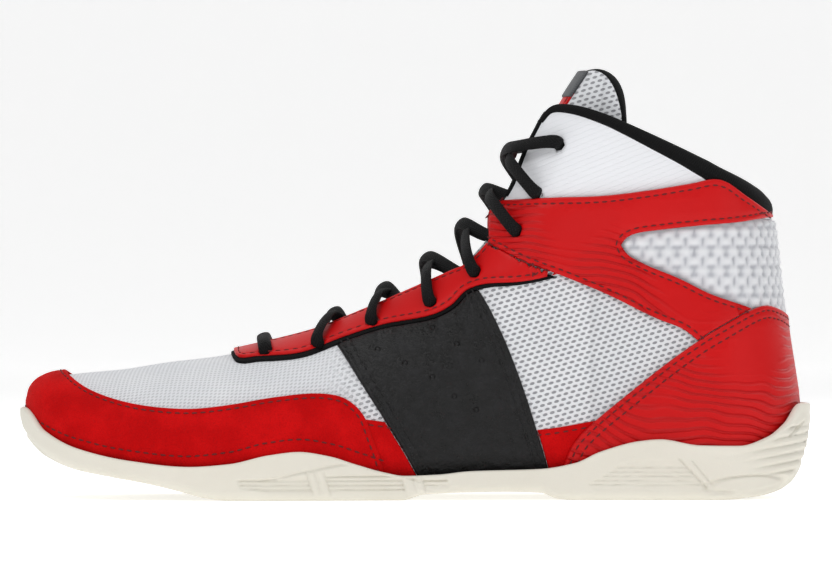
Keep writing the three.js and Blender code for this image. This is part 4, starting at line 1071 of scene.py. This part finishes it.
def tread_relief(x, y, half):
    """How far the tread is cut up into the rubber at a place seen from below."""
    centred = np.abs(y) / np.maximum(half, 1)
    front = ramp(x, -112, -4, 1) * (centred < 0.93)
    rear = ramp(x, 58, 126, 1) * (centred < 0.9)
    chevron = np.abs(((x + 0.35 * np.abs(y)) / 5.4) % 1 - 0.5) < 0.16
    rings = np.abs((np.hypot(x + 52, y) / 4.6) % 1 - 0.5) < 0.14
    split = (np.abs(centred - 0.62) < 0.035) | (np.abs(y) < 0.5)
    return TREAD_DEPTH * (front * (rings | split) + rear * (chevron | split))


def sole_half(x):
    ahead = np.clip((BALL - x) / (BALL - SOLE_TOE), 0, 1)
    behind = np.clip((x - HEEL_AXIS) / (SOLE_HEEL - HEEL_AXIS), 0, 1)
    wide = foot_width(np.clip(x, BALL, HEEL_AXIS)) + SOLE_FLARE
    return wide * (1 - ahead**TOE_FULLNESS) ** (1 / TOE_FULLNESS) * np.sqrt(1 - behind**2)


run = np.concatenate([SOLE_TOE + (BALL - SOLE_TOE) * (1 - np.cos(np.linspace(0, np.pi / 2, 190)))[:-1],
                      np.linspace(BALL, HEEL_AXIS, 290)[:-1],
                      HEEL_AXIS + (SOLE_HEEL - HEEL_AXIS) * np.sin(np.linspace(0, np.pi / 2, 90))])
side_of = np.concatenate([-np.ones(len(run)), np.ones(len(run) - 2)])
run_x = np.concatenate([run, run[-2:0:-1]])
rim = np.stack([run_x, along(CENTRE, run_x) + side_of * sole_half(run_x)], 1)
ahead_of = np.roll(rim, -1, 0) - np.roll(rim, 1, 0)
out_of = np.stack([ahead_of[:, 1], -ahead_of[:, 0]], 1)
out_of /= np.linalg.norm(out_of, axis=1, keepdims=True) + 1e-9
top_edge, bottom_edge = along(SOLE_EDGE, run_x), along(SOLE_BOTTOM, run_x)
rings = []


def sole_ring(inset, z, u):
    """One ring of the sole, drawn in from its plan outline."""
    place = rim - out_of * np.reshape(inset, (-1, 1))
    rings.append(np.column_stack([place, np.broadcast_to(z, len(rim)), u]))


girth = walked(rim)
sole_ring(CUP_WALL, top_edge - 5, girth)
sole_ring(CUP_WALL, top_edge - 0.7, girth)
for turn in np.linspace(0, np.pi, 7):
    sole_ring(CUP_WALL / 2 * (1 + np.cos(turn)), top_edge - 0.7 + 0.7 * np.sin(turn), girth)
wall_low = bottom_edge + np.minimum(SOLE_ROUND, (top_edge - bottom_edge) * 0.45)
for share in np.linspace(0, 1, WALL_ROWS)[1:]:
    z = top_edge - 0.7 + (wall_low - top_edge + 0.7) * share
    sole_ring(-wall_relief(run_x, z, top_edge) * smooth(0, 0.12, share), z, girth)
corner_round = wall_low - bottom_edge
for turn in np.linspace(0, np.pi / 2, 5)[1:]:
    z = wall_low - corner_round * np.sin(turn)
    sole_ring(corner_round * (1 - np.cos(turn)) - wall_relief(run_x, z, top_edge) * np.cos(turn), z, girth)
half_here = sole_half(run_x)
inner = np.stack([rim[:, 0] - out_of[:, 0] * corner_round, rim[:, 1] - out_of[:, 1] * corner_round], 1)
middle_y = along(CENTRE, inner[:, 0])
for share in np.linspace(0, 1, TREAD_ROWS)[1:]:
    y = inner[:, 1] + (middle_y - inner[:, 1]) * share
    cut_up = tread_relief(inner[:, 0], y - middle_y, half_here)
    rings.append(np.column_stack([inner[:, 0], y, along(SOLE_BOTTOM, inner[:, 0]) + cut_up, girth]))
for share in np.linspace(0, 1, 6):
    x = inner[:, 0]
    y = middle_y + (rim[:, 1] - out_of[:, 1] * CUP_WALL - middle_y) * share
    rings.append(np.column_stack([x, y, along(SOLE_BOTTOM, x) + 2.2, girth]))
count = len(rim)
body = np.concatenate(rings)
stack = len(rings)
faces = [(r * count + k, ((r + 1) % stack) * count + k, ((r + 1) % stack) * count + (k + 1) % count,
          r * count + (k + 1) % count) for r in range(stack) for k in range(count)]


def rubber_paint():
    paint = Paint("rubber_cream", 0.62, Specular_IOR_Level=0.35)
    cloud = paint.noise(45, 3)
    color = paint.mix(cloud, (0.70, 0.67, 0.58, 1), (0.77, 0.745, 0.665, 1))
    return paint.finish(color, None, paint.noise(1500, 3), 0.00018, 0.5)


rubber_cream = rubber_paint()
made = plain_mesh("outsole", body[:, :3], faces, rubber_cream, body[:, [3, 2]])
tidy = bmesh.new()
tidy.from_mesh(made.data)
bmesh.ops.remove_doubles(tidy, verts=tidy.verts, dist=2e-6)
bmesh.ops.recalc_face_normals(tidy, faces=tidy.faces)
tidy.to_mesh(made.data)
settle(made, "outsole")

# ---- Collar binding ----
# A black knit tape is folded over the top edge and swells into a soft roll behind the ankle.
# It carries on as a narrow piping down both edges of the throat to the strap.
ROLL_RADIUS = [(-20, 1.6), (2, 1.7), (40, 1.8), (70, 2.2), (95, 3.3), (112, 4.4), (125, 4.8)]
ROLL_THICK = [(-20, 1.5), (60, 1.6), (84, 2.2), (110, 4.0), (130, 4.4)]
collar_line = spline(COLLAR, 8)[::-1]
BINDING_BACK, BINDING_POINTS = 108.6, 300


def ring_tube(name, middle, across, upward, half_across, half_up, material, sides=14):
    """A closed tube of oval section along a line, with given directions at every point."""
    turns = np.linspace(0, 2 * np.pi, sides, endpoint=False)
    rings = (middle[:, None] + np.cos(turns)[None, :, None] * (across * np.reshape(half_across, (-1, 1)))[:, None]
             + np.sin(turns)[None, :, None] * (upward * np.reshape(half_up, (-1, 1)))[:, None])
    count = len(middle)
    uv = np.stack([np.repeat(walked(middle), sides), np.tile(turns * 2.0, count)], 1)
    index = np.arange(count * sides).reshape(count, sides)
    faces = [(index[k, n], index[k, (n + 1) % sides], index[k + 1, (n + 1) % sides], index[k + 1, n])
             for k in range(count - 1) for n in range(sides)]
    faces += [tuple(index[0][::-1]), tuple(index[-1])]
    return plain_mesh(name, rings.reshape(-1, 3), faces, material, uv)


def resampled(points, pitch):
    """Points evenly spaced along a polyline."""
    far = walked(points)
    return between(np.linspace(0, far[-1], max(3, int(far[-1] / pitch))), far, points)


def rear_point(side, x, z, height=0.0):
    """A place on the form by its side view, which may lie on the rounded heel."""
    reach = along(BACK, z) - HEEL_AXIS
    if x <= HEEL_AXIS:
        return surface_at(side, x, z, height)
    turn = math.asin(min(1.0, (x - HEEL_AXIS) / reach))
    wide = half_width(np.array(HEEL_AXIS), np.array(z))
    normal = np.array([math.sin(turn), side * math.cos(turn), 0.05])
    normal /= np.linalg.norm(normal)
    return np.array([x, side * wide * math.cos(turn), z]) + normal * height, normal


binding_points, binding_out = [], []
crest = [(x, z) for x, z in collar_line if x < along(BACK, z) - 0.05]
crest += [(float(along(BACK, BINDING_BACK)), BINDING_BACK)]
for side in (-1, 1):
    half = [rear_point(side, x, z) for x, z in crest]
    half = half if side < 0 else half[-2::-1]
    binding_points += [p for p, _ in half]
    binding_out += [n for _, n in half]
binding_points, binding_out = np.array(binding_points), unit(np.array(binding_out))
keys = walked(binding_points)
even = np.linspace(0, keys[-1], BINDING_POINTS)
binding_line = between(even, keys, binding_points)
soften(binding_line, 4)
heading = unit(np.gradient(binding_line, axis=0))
out = square_to(heading, unit(between(even, keys, binding_out)))
up = np.cross(out, heading)
up *= np.sign(up[:, 2:3])
reach = along(ROLL_RADIUS, binding_line[:, 0])
thick = along(ROLL_THICK, binding_line[:, 0])
centre = binding_line + up * (0.8 - reach * 0.75 + 0.4)[:, None] + out * (1.9 - thick)[:, None]
made = ring_tube("collar_binding", centre, out, up, thick, reach, tape_black, 20)
settle(made, "collar_binding")
for name, side in SIDES:
    edge_line = [(48.6, 141.6)] + [tuple(p) for p in spline(THROAT, 5) if p[1] > 110.5]
    pairs = [surface_at(side, x, z) for x, z in edge_line]
    line, normal = np.array([p for p, _ in pairs]), np.array([n for _, n in pairs])
    heading = unit(np.gradient(line, axis=0))
    across = unit(np.cross(normal, heading))
    made = ring_tube(f"throat_piping_{name}", line + normal * 0.3, across, normal, 1.1, 1.5, tape_black, 10)
    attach(made, "root")

# ---- Linings ----
# The midfoot is lined with grey cloth, and the ankle with a black knit over foam from the binding to the footbed.
# The footbed is a black foam sheet that lies loose on the lasting board.
LINING_LOW, LINING_TOP = -1.0, -0.3
PAD_INSIDE, PAD_OUTSIDE, PAD_SWELL, PAD_FOOT, FOAM_DROP, LINING_FRONT = -5.3, -2.1, 1.2, 17.5, 4.0, -62


def cloth_paint(name, tone, pitch=0.9):
    paint = Paint(name, 0.9, Sheen_Weight=0.2)
    u, v, _ = paint.split(paint.surface())
    holes = slots(paint, u * 1000, v * 1000, pitch, pitch * 0.7, 0.28, 0.28)
    color = paint.mix(holes * 0.6, (tone, tone, tone * 1.05, 1), (tone * 0.25, tone * 0.25, tone * 0.3, 1))
    return paint.finish(color, None, 1 - holes, 0.0003, 0.8)


PAD_FRONT = [(84, 150), (86, 136), (92, 110), (96, 80), (98, 40), (98, 0)]
padded_side = outline(PAD_FRONT, [(FAR, 0), (FAR, 150)])
lining_grey, lining_black = cloth_paint("lining_grey", 0.09), cloth_paint("lining_black", 0.02, 1.5)
lining = cut(holed, {"pad": lambda points: -padded_side(points) - CLEAR,
                     "front": lambda points: points[:, 0] - LINING_FRONT})
made = shell("quarter_lining", lining, LINING_LOW, LINING_TOP, lining_grey)
settle(made, "quarter_lining")
ankle = cut(upper, {"pad": padded_side, "low": lambda points: points[:, 2] - PAD_FOOT})
full = smooth(0, 16, np.minimum(ankle.get("pad"), ankle.get("low"))) * smooth(70, 92, ankle.rows[:, Z])
made = shell("collar_lining", ankle, -6.3 - PAD_SWELL * full, -5.6 - PAD_SWELL * full, lining_black)
settle(made, "collar_lining")


def foam_paint():
    paint = Paint("foam", 0.9)
    cells_in = paint.noise(900, 2)
    color = paint.mix(cells_in, (0.55, 0.46, 0.22, 1), (0.76, 0.66, 0.36, 1))
    return paint.finish(color, None, cells_in, 0.0003, 0.7)


foam = foam_paint()
stuffing = ankle.add("full", full).copy().keep("body", FOAM_DROP)
made = shell("ankle_foam", stuffing, PAD_INSIDE - PAD_SWELL * stuffing.get("full"), PAD_OUTSIDE, foam)
settle(made, "ankle_padding")


# ---- Tongue ----
# The tongue is white mesh over foam with a black knit back, bound in black round its edge and sewn in at the toe.
# A red strip runs up its middle under the lacing, and a small plain grey label is sewn over the strip's end.
TONGUE_HEIGHT, TONGUE_THICK = -7.3, 5.6
TONGUE_TOP = [(42, 141), (51, 147.5), (57, 154.2), (62, 157.8), (66.5, 158.7), (70, 157), (73.6, 151.6), (76, 144),
              (77, 137), (74, 120), (64, 104), (48, 88), (30, 74), (8, 62), (-14, 53.5), (-34, 48.5), (-51, 45.5)]
tongue_field = outline(TONGUE_TOP, [(-51, 80), (-20, 110), (20, 150), (40, 170)])
blank = Skin.on_form(toe=1, foot=230, heel=1, levels=80, low_x=-60, high_x=95, low_z=40)
blank.rows[:, :3] += blank.rows[:, NX : NZ + 1] * TONGUE_HEIGHT
blank.measure("edge", tongue_field).keep("edge", -1.0)
loop = max(blank.split("edge", 0.9).line("edge", 0.9, 0), key=len)
raised = max(blank.line("edge", 0.9, 1), key=len)
outward = unit(raised - loop)
far = walked(loop)
even = np.linspace(0, far[-1], 260)
loop, outward = between(even, far, loop), unit(between(even, far, outward))
soften(loop, 6)
for _ in range(6):
    outward[1:-1] = unit(outward[:-2] + 2 * outward[1:-1] + outward[2:])
sideways = unit(np.cross(unit(np.gradient(loop, axis=0)), outward))
edging = ring_tube("tongue_binding", loop - outward * TONGUE_THICK / 2, sideways, outward, 1.4, TONGUE_THICK / 2,
                   tape_black, 16)
tongue = blank.copy().keep("edge", 1.0)
inner_edge = tongue.get("edge")
hem = np.sqrt(np.clip(1 - (1 - np.clip(inner_edge / 4, 0, 1)) ** 2, 0, 1))
under_laces = smooth(66, 96, tongue.rows[:, Z]) * smooth(70, 58, tongue.rows[:, X])
face = shell("tongue_face", tongue, -1.2, -0.9 + hem * (0.9 + 0.3 * under_laces), mesh_white)
back = shell("tongue_lining", tongue, -TONGUE_THICK + 0.6 - hem * 0.8, -TONGUE_THICK + 1.0 - hem * 0.3,
             lining_black)
filling = shell("tongue_filling", tongue, -TONGUE_THICK + 1.1 - hem * 0.2, -1.3 + hem * 0.05, foam)
settle(filling, "tongue_foam", "tongue")
STRIP_HALF, STRIP_FOOT, LABEL_FOOT, LABEL_TOP = 11.0, 100, 147.5, 157
middle_line = float(along(CENTRE, 50))


def on_strip(low, high):
    """The part of the tongue's middle between two heights, as two fields."""
    return {"half": lambda points: STRIP_HALF - np.abs(points[:, 1] - middle_line),
            "foot": lambda points: points[:, 2] - low, "head": lambda points: high - points[:, 2],
            "front": lambda points: 66 - points[:, 0]}


strip = cut(tongue, on_strip(STRIP_FOOT, LABEL_FOOT + 1.5))
strip_seams = (("half", 1.7),)
height = rounded(strip, 0.35, 1.1, 0.5, strip_seams)
band = shell("tongue_strip", strip, 0.1, height, leather_red)
label_skin = cut(tongue, on_strip(LABEL_FOOT, LABEL_TOP))


def label_paint():
    paint = Paint("label_grey", 0.6)
    _, y, z = paint.split(paint.place())
    weave = paint.sine(z * 9000) * paint.sine(y * 9000)
    color = paint.mix(weave * 0.5 + 0.5, (0.075, 0.08, 0.085, 1), (0.12, 0.125, 0.13, 1))
    return paint.finish(color, None, weave, 0.00012, 0.5)


label = shell("tongue_label", label_skin, 0.4, rounded(label_skin, 1.15, 1.75, 0.5), label_paint())
settle(edging, "tongue_binding", "tongue")
settle(face, "tongue_face", "tongue")
settle(back, "tongue_lining", "tongue")
settle(band, "tongue_strip", "tongue")
settle(label, "tongue_label", "tongue")
sew("tongue_strip_stitches", strip, strip_seams, 0.95, thread_red, "tongue")

# ---- Lace ----
# One flat braided black lace crosses at every row, from a bar over the front pair of eyelets to the top pair.
# Each strand comes up out of its eyelet, over the stay and the tongue, and dives under the far stay.
# The first crossing is the exception, under both stays, and so is the last, over both.
LACE_WIDE, LACE_THICK, SOLID_LACE = 5.0, 2.3, 2.4
LINING_IN = -1.0
LACE_OVER = SECOND_TOP + 0.3 + SOLID_LACE / 2
LACE_UNDER = -4.15
EYELET_MIDDLE = (SECOND_TOP + LINING_IN) / 2
CROSS_HIGH, CROSS_LOW = 4.4, 0.6
UNDER_HIGH, UNDER_LOW = -0.9, -3.9
throat_line = sorted({(z, x) for x, z in np.vstack([spline(THROAT, 4), spline(STRAP_NOSE, 4)]).tolist()})


def ridge_over(x, z, height):
    """The ridge nearest to a place seen from the side, raised square to it."""
    places = np.arange(x - 40, x + 5, 0.25)
    best = places[np.argmin(np.hypot(places - x, along(RIDGE, places) - z))]
    rise = float(along(RIDGE, best + 1) - along(RIDGE, best - 1)) / 2
    normal = np.array([-rise, 0, 1]) / math.hypot(rise, 1)
    return np.array([best, float(along(CENTRE, best)), float(along(RIDGE, best))]) + normal * height, normal


def throat_point(side, row, towards, short, height):
    """On the way from an eyelet to the ridge, the place a distance short of the throat's edge."""
    x, z = eyelets[row]
    steps = np.linspace(0, 1, 120, endpoint=False)
    px, pz = x + (towards[0] - x) * steps, z + (towards[2] - z) * steps
    by_line = px < along(throat_line, pz)
    by_width = half_width(px, pz) < along(THROAT_WIDTH, px)
    edge = int(np.argmax(np.where(pz > STRAP_NOSE[-1][1], by_line, by_width)))
    places = surface_at(side, px, pz)[0]
    i = edge
    while i > 0 and np.linalg.norm(places[i] - places[edge]) < abs(short):
        i -= 1 if short > 0 else -1
    return surface_at(side, px[i], pz[i], height)


def eyelet_place(side, row, height):
    return surface_at(side, *eyelets[row], height)


def strand(side, row, height, start_over, end_over):
    """From an eyelet to the next row on the other side, over the flap or under it at each end."""
    middle = (np.array(eyelets[row]) + np.array(eyelets[row + 1])) / 2
    foot, _ = ridge_over(*middle, 0)
    crest, _ = ridge_over(*middle, height)

    def at_edge(s, r, over):
        return throat_point(s, r, foot, 1 if over else -0.9, LACE_OVER + 1.4 if over else LACE_UNDER + 0.6)[0]

    leaving, coming = at_edge(side, row, start_over), at_edge(-side, row + 1, end_over)
    levels = [LACE_OVER + 0.3 if over else LACE_UNDER + 0.5 for over in (start_over, end_over)]
    centre = eyelet_place(side, row, EYELET_MIDDLE)[0]
    return [centre + unit(centre - leaving) * 0.5, eyelet_place(side, row, levels[0])[0], leaving, crest, coming,
            eyelet_place(-side, row + 1, levels[1])[0]]


def braid_paint(name, tone):
    paint = Paint(name, 0.7, Specular_IOR_Level=0.18)
    along_it, around, _ = paint.split(paint.surface())
    along_it, around = along_it * 1000, around * 1000
    side_pick = paint.distance(around / 2.2 - paint.floor(around / 2.2) - 0.5)
    plait = paint.sine((along_it + side_pick * 3.2) * 5.2) * 0.5 + 0.5
    yarn = paint.sine((along_it - side_pick * 3.2) * 15) * 0.5 + 0.5
    color = paint.mix(plait * 0.7 + yarn * 0.3, (tone * 0.35, tone * 0.35, tone * 0.38, 1),
                      (tone * 1.7, tone * 1.7, tone * 1.8, 1))
    return paint.finish(color, None, plait + yarn * 0.3, 0.0004, 0.9)


lace_black = braid_paint("lace_black", 0.006)


def flat_cord(name, points, widths, wide, thick, material, sides=16, pitch=0.55):
    """A flat braided cord along a smooth curve, with its width along the given directions."""
    line, hints = spline(points, 10), np.array(widths, float)
    share = np.linspace(0, len(points) - 1, len(line))
    across = between(share, np.arange(len(points)), hints)
    far = walked(line)
    at = np.linspace(0, far[-1], int(far[-1] / pitch))
    line, across = between(at, far, line), between(at, far, across)
    soften(line, 4)
    heading = unit(np.gradient(line, axis=0))
    across = square_to(heading, across)
    for _ in range(8):
        across[1:-1] = across[:-2] + 2 * across[1:-1] + across[2:]
        across = square_to(heading, across)
    made = ring_tube(name, line, across, np.cross(heading, across), wide / 2, thick / 2, material, sides)
    return made, line


lace_points, lace_widths = [], []
for start in (-1, 1):
    points, widths = [], []
    for row in range(len(eyelets) - 1):
        side = -start if row % 2 else start
        middle = (np.array(eyelets[row]) + np.array(eyelets[row + 1])) / 2
        _, ridge_normal = ridge_over(*middle, 0)
        lengthwise = np.array([ridge_normal[2], 0, -ridge_normal[0]])
        heights = (CROSS_LOW, CROSS_HIGH) if row else (UNDER_LOW, UNDER_HIGH)
        run_of = strand(side, row, heights[side > 0], row > 0, row + 2 == len(eyelets))
        points += run_of
        whole = unit(run_of[-1] - run_of[0])
        width = unit(lengthwise - whole * (lengthwise @ whole)) * side
        widths += [lengthwise, width * side, width * side, width * side, width * side, lengthwise]
    last = -start if (len(eyelets) - 1) % 2 else start
    points += [eyelet_place(last, -1, EYELET_MIDDLE - 1)[0], eyelet_place(last, -1, LACE_UNDER + 1)[0]]
    widths += [widths[-1], widths[-1]]
    lace_points.append(points)
    lace_widths.append(widths)
bar_middle, _ = ridge_over(EYELETS_SEEN[0][0], float(along(RIDGE, EYELETS_SEEN[0][0])), LACE_OVER + 0.4)
bar = [eyelet_place(-1, 0, LACE_OVER)[0], bar_middle, eyelet_place(1, 0, LACE_OVER)[0]]
route = lace_points[0][::-1] + bar + lace_points[1]
hints = lace_widths[0][::-1] + [lace_widths[0][0]] * 3 + lace_widths[1]
made, _ = flat_cord("lace", route, hints, LACE_WIDE, LACE_THICK, lace_black)
settle(made, "lace")

# ---- Lace tails ----
# The two ends are tucked in beside the foot, down the wall and forward along the footbed, each tipped by an aglet.
# They run on from the top eyelets, and each is a cord of its own length.
TAIL_ROUTE = [(52.6, 125), (53.5, 121.5), (54.5, 118), (56, 111.5), (57.5, 105), (58.6, 97.5), (59.5, 90),
              (60.4, 80), (61, 70), (61.3, 60), (61, 50), (60, 41), (58, 34), (54.6, 28), (50, 23), (44.5, 20.2),
              (38, 18.4), (30, 17.2), (22, 16.4), (12, 15.6), (2, 15), (-8, 14.6), (-18, 14.4)]
AGLET_ROUTE = [(-17.2, 14.4), (-28, 14.3), (-38, 14.3)]
TAIL_WIDE, TAIL_THICK, AGLET_ROUND = 4.4, 2.2, 2.8
aglet_black = Paint("aglet_black", 0.25, Base_Color=(0.01, 0.01, 0.011, 1), Coat_Weight=0.5).finish()
for name, side in SIDES:
    pairs = [surface_at(side, x, z, LACE_UNDER - 0.1) for x, z in TAIL_ROUTE]
    points = [p for p, _ in pairs]
    headings = unit(np.gradient(np.array(points), axis=0))
    widths = [np.cross(n, h) for (_, n), h in zip(pairs, headings)]
    tail, line = flat_cord(f"lace_tail_{name}", points, widths, TAIL_WIDE, TAIL_THICK, lace_black)
    tip_line = resampled(np.array([surface_at(side, x, z, LACE_UNDER - 0.1)[0] for x, z in AGLET_ROUTE]), 1.5)
    heading = unit(np.gradient(tip_line, axis=0))
    across = unit(np.cross(heading, (0, 0, 1)))
    tip = ring_tube(f"aglet_{name}", tip_line, across, np.cross(heading, across), AGLET_ROUND / 2, AGLET_ROUND / 2,
                    aglet_black, 12)
    path = (line - (0, SHIFT, 0)) * MM
    settle(tail, f"lace_tail_{name}")
    settle(tip, f"aglet_{name}")
    path[:: 6].tolist() + [path[-1].tolist()]


# ---- Insides that keep their own shape ----
# The white foam wedge, the board, the footbed and the heel's stiff counter stay plain.
# They lie between the layers, and little of them shows.
def plain_paint(name, color, roughness, grain, depth):
    paint = Paint(name, roughness)
    speckle = paint.noise(grain, 3)
    tone = paint.mix(speckle, tuple(c * 0.82 for c in color) + (1,), tuple(min(1, c * 1.12) for c in color) + (1,))
    return paint.finish(tone, None, speckle, depth, 0.6)


INSIDES = {"midsole_foam": ("foam_white", (0.8, 0.8, 0.8)), "lasting_board": ("board", (0.55, 0.47, 0.33)),
           "sockliner": ("sockliner_black", (0.02, 0.02, 0.021)), "heel_counter": ("counter", (0.35, 0.3, 0.22))}
for node, (label_of, color) in INSIDES.items():
    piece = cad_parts[node]
    piece.data.materials.clear()
    piece.data.materials.append(plain_paint(f"{label_of}_{node}", color, 0.85, 700, 0.0002))
